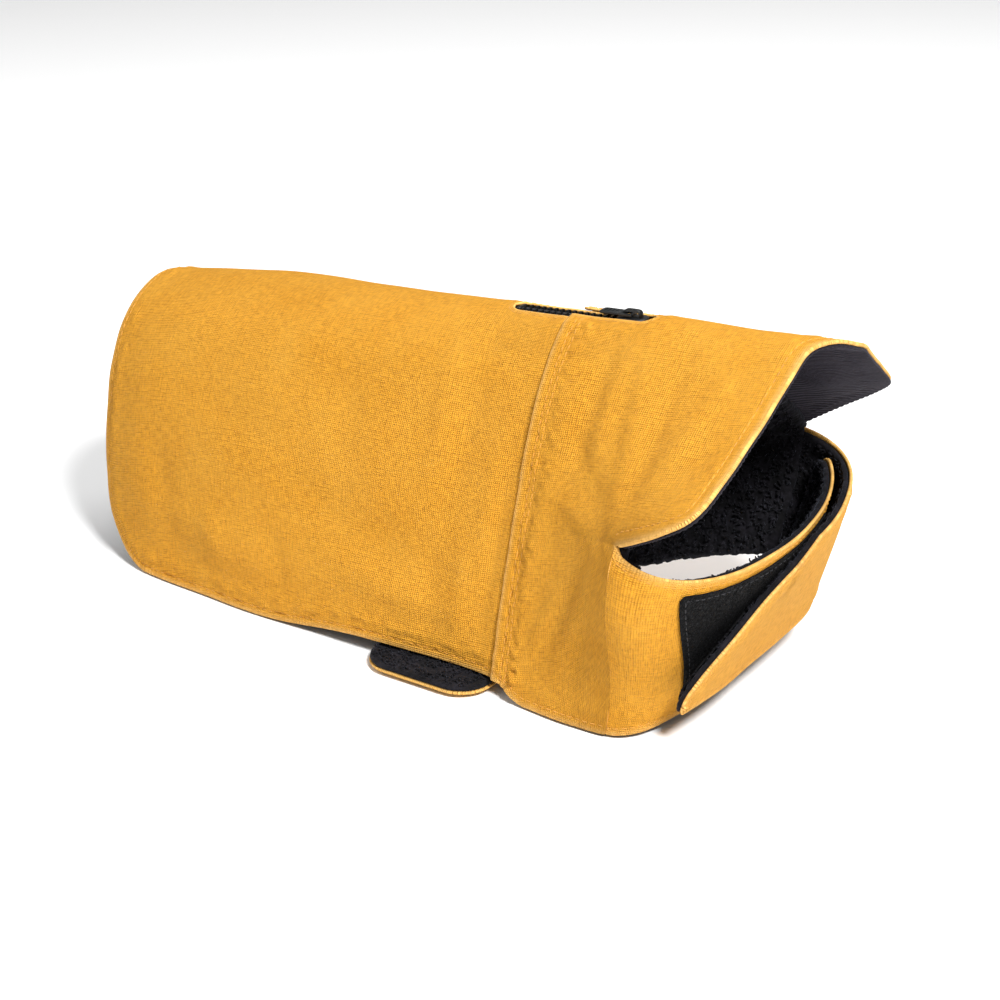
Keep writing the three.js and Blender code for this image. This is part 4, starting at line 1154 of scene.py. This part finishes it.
# Corduroy facing of the collar, its wales running fore and aft
cord = {"top": -1.85, "thickness": 1.0, "rib": 0.42, "rows": 720, "columns": 46}
frontRows = np.arange(flankCount - notchRow + 1, flankCount + 1 + notchRow)
reliefGrid = np.zeros(yokePoints.shape[:2]).ravel()
reliefGrid[yoke["used"]] = yokeRelief
reliefGrid = reliefGrid.reshape(yokePoints.shape[:2])
collar = np.concatenate([yokePoints, reliefGrid[..., None]], axis=-1)[:, frontRows]
keepRows = np.ones(len(frontRows), bool)
keepRows[len(frontRows) // 2] = False  # the ridge row comes twice
collar = collar[:, keepRows]
arc = np.concatenate([[0], np.cumsum(np.linalg.norm(np.diff(collar[-1, :, :3], axis=0), axis=1))])
arcFine = np.linspace(0, arc[-1], cord["rows"])
collar = np.stack([np.stack([np.interp(arcFine, arc, column[:, k]) for k in range(4)], axis=-1)
                   for column in collar])
fine = []
for rowIndex in range(collar.shape[1]):
    line = collar[:, rowIndex]
    xs = line[:, 0]
    startX = coat["rootX"] + 0.5
    wanted = np.linspace(min(startX, xs[-1] - 0.4), xs[-1], cord["columns"])
    fine.append(np.stack([np.interp(wanted, xs, line[:, k]) for k in range(4)], axis=-1))
collar = np.stack(fine, axis=1)
collarSurface = outwardFaces(surfaceOf(collar[..., :3]), middleOfCoat)
collarRelief = collar[..., 3].ravel()[collarSurface["used"]]
rowOf = collarSurface["used"] % cord["rows"]
wale = np.abs(np.sin(math.pi * arcFine[rowOf] / cordCloth["wale"])) ** 0.8
# the wale's rise goes to the corduroy's colour as well, to paint a highlight on the crests and shade in the
# grooves
collarSurface["wearAndRibShading"] = wale
top = collarRelief + cord["top"]
collarShell = thicken(collarSurface, top, top - cord["thickness"] - cord["rib"] * wale)
# the facing's rims get half of the painted crest highlight
collarShell["wearAndRibShading"][len(collarSurface["points"]) * 2:] = 0.5
collarFacing = makePiece("collar_corduroy", collarShell, corduroyMaterial)
onCoat(collarFacing)
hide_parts("collar_facing")
print("collar faced")

# Chest strap linings and their hook-and-loop


def finishStrap(word, surface, seed, chance):
    points = surface["points"]
    toEdge = distanceTo(points, edgeLine(surface, surface["free"]))
    keep = (toEdge > 0.7) | surface["root"]
    part, used = subset(surface, keep)
    top = surface["relief"][used] - coat["duck"] - 0.35
    piece, tufts = makePile(f"{word}_strap_pile", part, top, top - strap["pile"], lining["strapNub"],
                            strapCurls,
                            np.full(len(used), chance), seed)
    onStrap(piece)
    onStrap(tufts)
    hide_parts(f"{word}_strap_lining")


finishStrap("right", rightStrap, 71, 0.9)
finishStrap("left", leftStrap, 81, 1.0)

patchCut = {
    "rightStartTop": math.radians(-54), "rightStartHem": math.radians(-38), "rightEnd": math.radians(30),
    "leftEnd": math.radians(-8), "margin": 4, "thick": 0.9,
}
loopTufts = {"perArea": 1.1, "size": (0.45, 0.8), "radius": 0.13, "steps": 4}
hookTufts = {"perArea": 0.9, "size": (0.5, 0.7), "radius": 0.16, "steps": 4}


def patchSurface(ring, startTop, startHem, end, edgesAt, margin, columns, rows):
    share = np.linspace(0, 1, rows + 1)[None, :]
    along = np.linspace(0, 1, columns + 1)[:, None]
    angle = lerp(lerp(startHem, startTop, share), end, along)
    upper, lower = edgesAt(angle)
    corner = roundedInset(np.minimum(along, 1 - along) * 60, 2.0)
    z = lerp(lower + margin + corner, upper - margin - corner, share)
    return outwardFaces(surfaceOf(ringPoint(ring, angle, z)), middleOfChest)


rootAngleTop = float(ringParts(leftRing, np.array(88.5))[3])
rightRoot = math.radians(-113)
loopSurface = patchSurface(
    rightRing, patchCut["rightStartTop"], patchCut["rightStartHem"], patchCut["rightEnd"],
    lambda angle: rightEdges((angle - rightRoot) / (strap["rightEnd"] - rightRoot)),
    patchCut["margin"], 90, 60)
loopBase = strapSway(loopSurface["points"], 31) + 0.45
loopShell = thicken(loopSurface,
                    loopBase + patchCut["thick"] + 0.12 * softNoise(loopSurface["points"], 2.2, 4),
                    loopBase)
loopPatch = makePiece("right_strap_loop", loopShell, loopMaterial)
lifted = {**loopSurface, "points": loopSurface["points"]
          + loopSurface["normals"] * (loopBase + patchCut["thick"])[:, None]}
loopFuzz = makePiece("right_strap_loop_fuzz", curlField(
    lifted, 0.01, np.ones(len(loopBase)), loopTufts, 91), loopMaterial)
loopStitches = makePiece("right_strap_loop_stitches", joinMeshes(
    sewEdge(loopSurface, loopShell, np.ones(len(loopBase), bool), 2.0)), blackThreadMaterial)

hookSurface = patchSurface(
    leftRing, strap["leftTip"] + math.radians(4), strap["leftTip"] + math.radians(4), patchCut["leftEnd"],
    lambda angle: leftEdges(angle, rootAngleTop), 2.4, 40, 24)
hookBase = strapSway(hookSurface["points"], 41) - 4.75
hookPatch = makePiece("left_strap_hook",
                      thicken(hookSurface, hookBase, hookBase - patchCut["thick"]), hookMaterial)
lowered = {**hookSurface,
           "points": hookSurface["points"] + hookSurface["normals"] * (hookBase - 0.9)[:, None]}
hookFuzz = makePiece("left_strap_hooks", curlField(
    lowered, -0.01, np.ones(len(hookBase)), hookTufts, 92), hookMaterial)
for piece in (loopPatch, loopFuzz, loopStitches):
    onStrap(piece)
for piece in (hookPatch, hookFuzz):
    onStrap(piece)
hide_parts("right_strap_loop_patch")
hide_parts("left_strap_hook_patch")

# Loop tape inside the right flank, for the belly strap's hooks
flankLoop = {"x0": -3, "x1": 41, "z0": 14, "z1": 44, "depth": -5.6}
across, up = np.meshgrid(np.linspace(0, 1, 56), np.linspace(0, 1, 40), indexing="ij")
x = lerp(flankLoop["x0"], flankLoop["x1"], across)
z = lerp(flankLoop["z0"], flankLoop["z1"], up)
flankPatch = outwardFaces(surfaceOf(np.stack([x, -halfWidth(x, z), z], axis=-1)), middleOfCoat)
flankTape = makePiece("belly_loop_tape", thicken(
    flankPatch, flankLoop["depth"], flankLoop["depth"] - 0.9), loopMaterial)
onCoat(flankTape)
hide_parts("belly_loop_patch")
print("hook-and-loop made")

# Belly strap: canvas below, pile above, hooks under its free end

belly = {
    "rear": -10, "front": 48, "root": 62, "end": -76, "radius": 14, "level": 2.5,
    "pile": 2.2, "rise": 1.8, "patchLength": 50, "stitch": 2.6,
}


def bellyGrid(margin, y0, y1, columns, rows, radius):
    along = np.linspace(0, 1, columns + 1)[:, None]
    share = np.linspace(0, 1, rows + 1)[None, :]
    y = lerp(y0, y1, 1 - (1 - along) ** 1.35)
    inset = margin + roundedInset(y - y1, radius)
    x = lerp(belly["rear"] + inset, belly["front"] - inset, share)
    z = belly["level"] + belly["rise"] * smoothstep(y, 46, 62) ** 2 + 0 * x
    return np.stack([x, y + 0 * x, z], axis=-1)


def upwardFaces(surface):
    if surface["normals"][:, 2].sum() < 0:
        surface["faces"] = surface["faces"][:, ::-1].copy()
        surface["normals"] = -surface["normals"]
    return surface


bellySurface = upwardFaces(surfaceOf(bellyGrid(0, belly["root"], belly["end"], 110, 50, belly["radius"])))
toEdge = distanceTo(bellySurface["points"], wholeEdge(bellySurface))
pucker = softNoise(bellySurface["points"], 5, 21)
bellyRelief = np.clip(hemRelief(toEdge, 0.1, 3.8, 2.6, pucker), -0.4, 0.15)
bellySurface["wearAndRibShading"] = 0.8 * np.exp(-(toEdge / 1.8) ** 2)
bellyShell = thicken(bellySurface, bellyRelief, -1.15 + 0 * toEdge)
bellyCanvas = makePiece("belly_strap_canvas", bellyShell, duckMaterial)
pileSurface = upwardFaces(surfaceOf(
    bellyGrid(0.9, belly["root"], belly["end"] + 0.9, 110, 50, belly["radius"] - 1)))
pileSurface = {**pileSurface, "faces": pileSurface["faces"][:, ::-1].copy(),
               "normals": -pileSurface["normals"]}
count = len(pileSurface["points"])
bellyPile, bellyCurls = makePile("belly_strap_pile", pileSurface, np.full(count, -0.35), np.full(count, -2.3),
                                 0.3, {**strapCurls, "size": (0.9, 1.5)}, np.full(count, 0.9), 101)
hookGrid = bellyGrid(4, belly["end"] + 4 + belly["patchLength"], belly["end"] + 4, 44, 36,
                     belly["radius"] - 4)
hookGrid[..., 2] = 1.0
bellyHookSurface = upwardFaces(surfaceOf(hookGrid))
bellyHook = makePiece("belly_strap_hook", thicken(bellyHookSurface, -0.02, -0.9), hookMaterial)
bellyStitches = makePiece("belly_strap_stitches", joinMeshes(
    sewEdge(bellySurface, bellyShell, np.ones(len(toEdge), bool), belly["stitch"], sink=0.3)), threadMaterial)
for piece in (bellyCanvas, bellyPile, bellyCurls, bellyHook, bellyStitches):
    onBelly(piece)
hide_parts("belly_strap_shell")
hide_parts("belly_strap_lining")
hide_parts("belly_strap_hook_patch")
print("belly strap made")

# Leash slot: facing, tapes, teeth, slider and pull

zipCut = {
    "tapeTop": -1.85, "tapeThick": 0.6, "tapeIn": 1.3, "tapeOut": 12.6, "facing": -2.75, "facingHalf": 14,
    "pitch": 3.0, "toothTop": -0.7, "toothHeight": 2.4, "stopInset": 2.4, "stopLength": 1.8,
    "clearance": 0.4, "sliderLength": 12.5, "plate": 1.2, "half": 4.35,
    "crownLength": 8.4, "crownWidth": 2.4, "crownWindow": 1.9, "crownBeam": 1.1,
    "pullLength": 15, "pullWidth": 5.8, "pullThick": 1.1, "eye": 4.4,
}


def ridgeSheet(x0, x1, y0, y1, columns, rows):
    x, y = np.meshgrid(np.linspace(x0, x1, columns), np.linspace(y0, y1, rows), indexing="ij")
    return np.stack([x, y, heightAtHalf(x, np.maximum(np.abs(y), 0.02))], axis=-1)


tapes = []
for side in (-1, 1):
    strip = ridgeSheet(slotCut["rear"] - 3, slotCut["front"] + 3,
                       side * zipCut["tapeIn"], side * zipCut["tapeOut"], 110, 22)
    strip = upwardFaces(surfaceOf(strip))
    tapes.append(thicken(strip, zipCut["tapeTop"], zipCut["tapeTop"] - zipCut["tapeThick"]))
zipTapes = makePiece("zip_tapes", joinMeshes(tapes), tapeMaterial)

facing = ridgeSheet(slotCut["rear"] - 7, slotCut["front"] + 7, -1, 1, 82, 58)
rows = np.linspace(-1, 1, 58)
rows = np.concatenate([rows[:29] - rows[28], rows[29:] - rows[29]])
half = slotCut["half"] + zipCut["clearance"] - roundedInset(
    np.clip(np.minimum(facing[:, 0, 0] - slotCut["rear"], slotCut["front"] - facing[:, 0, 0]) + 0.4, 0, 99),
    slotCut["half"] + zipCut["clearance"])
side = np.concatenate([-np.ones(29), np.ones(29)])
spread = np.abs(rows) / np.abs(rows).max()
facing[..., 1] = side[None, :] * lerp(half[:, None], zipCut["facingHalf"], spread[None, :])
facing[..., 2] = heightAtHalf(facing[..., 0], np.maximum(np.abs(facing[..., 1]), 0.02))
facingSurface = upwardFaces(surfaceOf(facing, half > 0.01))
slotFacing = makePiece("slot_facing_tape", thicken(
    facingSurface, zipCut["facing"], zipCut["facing"] - 0.6), tapeMaterial)

slotRearZ, slotFrontZ = float(ridgeHeight(slotCut["rear"])), float(ridgeHeight(slotCut["front"]))
zipTilt = math.atan2(slotFrontZ - slotRearZ, slotCut["front"] - slotCut["rear"])
zipLength = (slotCut["front"] - slotCut["rear"]) / math.cos(zipTilt)
zipMiddle = np.array([(slotCut["rear"] + slotCut["front"]) / 2, 0, (slotRearZ + slotFrontZ) / 2])


def onZip(mesh):
    # from the zip's own straight line to the coat
    x, y, z = mesh["points"].T
    cos, sin = math.cos(zipTilt), math.sin(zipTilt)
    mesh["points"] = np.stack([x * cos - z * sin, y, x * sin + z * cos], axis=1) + zipMiddle
    return mesh


def stacked(outline, levels, centre=(0, 0)):
    # a moulded form: an outline repeated at heights, each time scaled towards a centre
    outline, centre = np.array(outline, float), np.array(centre, float)
    count = len(outline)
    rings = [np.column_stack([centre + (outline - centre) * scale, np.full(count, z)]) for z, scale in levels]
    index = np.arange(count * len(levels)).reshape(len(levels), count)
    turned = np.roll(index, -1, axis=1)
    faces = np.stack([index[:-1], turned[:-1], turned[1:], index[1:]], axis=-1).reshape(-1, 4)
    return {"points": np.concatenate(rings), "faces": faces,
            "caps": [index[0, ::-1].tolist(), index[-1].tolist()]}


def roundedOutline(x0, x1, y0, y1, radius, steps=6):
    corners = [(x1 - radius, y0 + radius, -90), (x1 - radius, y1 - radius, 0),
               (x0 + radius, y1 - radius, 90), (x0 + radius, y0 + radius, 180)]
    return [(cx + radius * math.cos(math.radians(start + 90 * k / steps)),
             cy + radius * math.sin(math.radians(start + 90 * k / steps)))
            for cx, cy, start in corners for k in range(steps + 1)]


def softLevels(z0, z1, edge, shrink=0.9):
    return [(z0, shrink), (z0 + edge * 0.4, shrink + (1 - shrink) * 0.75), (z0 + edge, 1),
            (z1 - edge, 1), (z1 - edge * 0.4, shrink + (1 - shrink) * 0.75), (z1, shrink)]


toothBottom = zipCut["toothTop"] - zipCut["toothHeight"]
teeth = {-1: [], 1: []}
toothStart = -zipLength / 2 + zipCut["stopInset"] + zipCut["stopLength"] + zipCut["clearance"]
toothCount = int((-toothStart * 2 - zipCut["pitch"] / 2) // zipCut["pitch"])
for number in range(toothCount):
    for side in (-1, 1):
        x = toothStart + (number + (0.5 if side > 0 else 0)) * zipCut["pitch"] + 0.75
        # a moulded tooth: broad foot on the tape, a waist, and a rounded head at the middle
        profile = [(-0.62, 3.1), (-0.62, 2.3), (-0.4, 1.9), (-0.42, 1.35), (-0.58, 1.1),
                   (-0.5, 0.86), (0.5, 0.86),
                   (0.58, 1.1), (0.42, 1.35), (0.4, 1.9), (0.62, 2.3), (0.62, 3.1)]
        outline = [(x + dx, side * y) for dx, y in (profile[::-1] if side > 0 else profile)]
        teeth[side].append(stacked(outline, softLevels(toothBottom, zipCut["toothTop"], 0.5, 0.82),
                                   (x, side * 2.0)))
zipTeethRight = makePiece("zip_teeth_row_right", onZip(joinMeshes(teeth[-1])), acetalMaterial)
zipTeethLeft = makePiece("zip_teeth_row_left", onZip(joinMeshes(teeth[1])), acetalMaterial)


def stopAt(x0):
    return stacked(roundedOutline(x0, x0 + zipCut["stopLength"], -3.1, 3.1, 0.6),
                   softLevels(toothBottom, zipCut["toothTop"] + 0.1, 0.5, 0.86), (x0 + 0.9, 0))


topStopX = zipLength / 2 - zipCut["stopInset"] - zipCut["stopLength"]
zipTopStop = makePiece("zip_stop_top", onZip(stopAt(topStopX)), acetalMaterial)
zipBottomStop = makePiece("zip_stop_bottom", onZip(stopAt(-zipLength / 2 + zipCut["stopInset"])),
                          acetalMaterial)

# Slider: two plates joined by a post at the wide front, with side walls and a bridge for the pull
sliderX = topStopX - zipCut["clearance"] - zipCut["sliderLength"] / 2
rear, front = sliderX - zipCut["sliderLength"] / 2, sliderX + zipCut["sliderLength"] / 2
half = zipCut["half"]
plateZ = zipCut["toothTop"] + 0.3
wedge = [(rear, -half * 0.72), (rear + 3, -half * 0.84), (front - 5, -half), (front - 2.2, -half * 0.98),
         (front - 0.7, -half * 0.72), (front, -half * 0.3), (front, half * 0.3), (front - 0.7, half * 0.72),
         (front - 2.2, half * 0.98), (front - 5, half), (rear + 3, half * 0.84), (rear, half * 0.72),
         (rear, half * 0.3), (rear, -half * 0.3)]
lower = [(x, y * 0.78) for x, y in wedge]
wall = roundedOutline(rear + 2.5, front - 3.5, half - 0.65, half, 0.3)
parts = [
    stacked(wedge, softLevels(plateZ, plateZ + zipCut["plate"], 0.55, 0.9), (sliderX, 0)),
    stacked(lower, softLevels(toothBottom - 0.3 - zipCut["plate"], toothBottom - 0.3, 0.4, 0.92),
            (sliderX, 0)),
    stacked(wall, softLevels(plateZ - 1.0, plateZ + 0.4, 0.2, 0.97), (sliderX, 4.2)),
    stacked([(x, -y) for x, y in wall[::-1]], softLevels(plateZ - 1.0, plateZ + 0.4, 0.2, 0.97),
            (sliderX, -4.2)),
    stacked(roundedOutline(front - 5, front - 1.5, -0.5, 0.5, 0.3),
            [(toothBottom - 0.5, 1), (plateZ + 0.2, 1)], (front - 3, 0)),
    # a raised spine runs fore and aft on the top plate
    stacked(roundedOutline(rear + 1.8, front - 1.8, -1.4, 1.4, 1.0),
            [(plateZ + 0.9, 1), (plateZ + zipCut["plate"] + 0.08, 0.96),
             (plateZ + zipCut["plate"] + 0.16, 0.8)], (sliderX, 0)),
]
sliderBody = makePiece("slider_plates", onZip(joinMeshes(parts)), acetalMaterial)

# Bridge: a strip that rises from the plate, runs level and comes down again
crownBottom = plateZ + zipCut["plate"] + 0.3
crownTop = crownBottom + zipCut["crownWindow"] + zipCut["crownBeam"]
outerArch, innerArch = [], []
for step in range(25):
    angle = math.pi * (1 - step / 24)
    cos, sin = math.cos(angle), math.sin(angle)
    squared = (abs(cos) ** 0.45 * math.copysign(1, cos), abs(sin) ** 0.45)
    outerArch.append((sliderX + squared[0] * zipCut["crownLength"] / 2,
                      crownBottom - 0.35 + squared[1] * (crownTop - crownBottom + 0.35)))
    innerArch.append((sliderX + squared[0] * (zipCut["crownLength"] / 2 - 1.3),
                      crownBottom - 0.35 + squared[1] * (zipCut["crownWindow"] + 0.35)))
arch = outerArch + innerArch[::-1]
archLevels = []
for y, scale in ((-1.2, 0.0), (-0.8, 1.0), (0.8, 1.0), (1.2, 0.0)):
    # the section's corners are rounded by drawing the two sides in towards the middle of the strip
    middleLine = [((a[0] + b[0]) / 2, (a[1] + b[1]) / 2) for a, b in zip(outerArch, innerArch)]
    middleLine = middleLine + middleLine[::-1]
    pull = 0.72 + 0.28 * scale
    archLevels.append([(m[0] + (p[0] - m[0]) * pull, y, m[1] + (p[1] - m[1]) * pull)
                       for p, m in zip(arch, middleLine)])
count = len(arch)
index = np.arange(count * 4).reshape(4, count)
turned = np.roll(index, -1, axis=1)
archFaces = np.stack([index[:-1], index[1:], turned[1:], turned[:-1]], axis=-1).reshape(-1, 4)
crown = {"points": np.array(archLevels).reshape(-1, 3), "faces": archFaces}
sides = []
for level, order in ((0, 1), (3, -1)):
    for k in range(24):
        quad = [k, k + 1, count - 2 - k, count - 1 - k]
        sides.append([level * count + corner for corner in (quad if order > 0 else quad[::-1])])
crown["faces"] = np.concatenate([crown["faces"], np.array(sides)])
sliderCrown = makePiece("slider_bridge", onZip(crown), acetalMaterial)

# Pull: a tab with an eye round the bridge and a ribbed grip
barZ = crownBottom + zipCut["crownWindow"] / 2 - 0.1
p0, p1 = sliderX - zipCut["pullLength"], sliderX + zipCut["pullThick"] / 2
wide, thick = zipCut["pullWidth"] / 2, zipCut["pullThick"] / 2
eye0, eye1 = sliderX - thick - zipCut["eye"], sliderX - thick
eyeHalf = zipCut["crownWidth"] / 2 + zipCut["clearance"]
pullParts = [
    stacked(roundedOutline(p0, eye0, -wide, wide, 1.6), softLevels(barZ - thick, barZ + thick, 0.35, 0.93),
            ((p0 + eye0) / 2, 0)),
    stacked(roundedOutline(eye0 - 1.0, p1, eyeHalf, wide, 0.35),
            softLevels(barZ - thick, barZ + thick, 0.3, 0.96),
            ((eye0 + p1) / 2, (eyeHalf + wide) / 2)),
    stacked(roundedOutline(eye0 - 1.0, p1, -wide, -eyeHalf, 0.35),
            softLevels(barZ - thick, barZ + thick, 0.3, 0.96),
            ((eye0 + p1) / 2, -(eyeHalf + wide) / 2)),
    stacked(roundedOutline(eye1, p1, -wide + 0.5, wide - 0.5, 0.3),
            softLevels(barZ - thick, barZ + thick, 0.3, 0.94),
            ((eye1 + p1) / 2, 0)),
]
for rib in range(4):
    at = p0 + 1.8 + rib * 1.7
    pullParts.append(stacked(roundedOutline(at, at + 0.7, -wide + 1.0, wide - 1.0, 0.3),
                             [(barZ + thick - 0.2, 1), (barZ + thick + 0.15, 0.95),
                              (barZ + thick + 0.3, 0.7)],
                             (at + 0.35, 0)))
pullTab = makePiece("pull_grip", onZip(joinMeshes(pullParts)), acetalMaterial)

for piece in (zipTeethRight, zipTeethLeft, zipTopStop, zipBottomStop, sliderBody, sliderCrown, pullTab):
    piece.data.set_sharp_from_angle(angle=math.radians(42))
for piece in (zipTapes, slotFacing, zipTeethRight, zipTeethLeft, zipTopStop, zipBottomStop):
    onCoat(piece)
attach(sliderBody, "zip_slider")
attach(sliderCrown, "zip_slider")
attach(pullTab, "zip_pull")
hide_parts("zip_tape_right", "zip_tape_left")
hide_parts("slot_facing")
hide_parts("zip_teeth_right")
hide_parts("zip_teeth_left")
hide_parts("zip_top_stop")
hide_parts("zip_bottom_stop")
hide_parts("slider_body")
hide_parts("slider_crown")
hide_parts("pull_tab")
print("zip made")

# Camera and light

view = {"place": (0.4997, -0.7340, 0.4505), "aim": (0.012, 0.0, 0.0545), "lens": 80}
cameraData = bpy.data.cameras.new("camera")
cameraData.lens = view["lens"]
cameraData.sensor_width = 36
cameraData.clip_end = 20
camera = bpy.data.objects.new("camera", cameraData)
camera.location = view["place"]
camera.rotation_euler = (Vector(view["aim"]) - camera.location).to_track_quat("-Z", "Y").to_euler()
scene.collection.objects.link(camera)
scene.camera = camera

studio = {"key": 60, "fill": 6, "top": 17, "sky": 0.24}
scene.view_settings.view_transform = "Standard"  # the cloth's colours come out as they are


def softbox(name, place, aim, size, power):
    data = bpy.data.lights.new(name, "AREA")
    data.shape, data.size, data.energy = "DISK", size, power
    lamp = bpy.data.objects.new(name, data)
    lamp.location = place
    lamp.rotation_euler = (Vector(aim) - Vector(place)).to_track_quat("-Z", "Y").to_euler()
    scene.collection.objects.link(lamp)


softbox("keyLight", (1.2, -0.62, 1.6), (0.05, 0, 0.06), 0.5, studio["key"])
softbox("fillLight", (-1.3, -0.7, 1.1), (0, 0, 0.06), 1.2, studio["fill"])
softbox("topLight", (0.1, 0.5, 1.7), (0, 0, 0.06), 1.2, studio["top"])
world = bpy.data.worlds.new("studio")
world.use_nodes = True
world.node_tree.nodes.clear()
seen = addNode(world.node_tree, "LightPath").outputs["Is Camera Ray"]
brightness = addNode(world.node_tree, "MapRange", {0: seen, 3: studio["sky"], 4: 1.0}).outputs[0]
air = addNode(world.node_tree, "Background", {"Color": linear("#FFFFFF"), "Strength": brightness})
addNode(world.node_tree, "OutputWorld", {"Surface": air.outputs[0]})
scene.world = world

floorMesh = bpy.data.meshes.new("floor")
floorMesh.from_pydata([(-2, -2, 0), (2, -2, 0), (2, 2, 0), (-2, 2, 0)], [], [(0, 1, 2, 3)])
floor = bpy.data.objects.new("floor", floorMesh)
paper, tree = newMaterial("whitePaper")  # seamless backdrop paper: matt, plain white
shader = addNode(tree, "BsdfPrincipled", {"Base Color": linear("#FDFDFD"), "Roughness": 0.95})
addNode(tree, "OutputMaterial", {"Surface": shader.outputs[0]})
floorMesh.materials.append(paper)
scene.collection.objects.link(floor)
floor.location.z = -0.0005

print("scene complete")
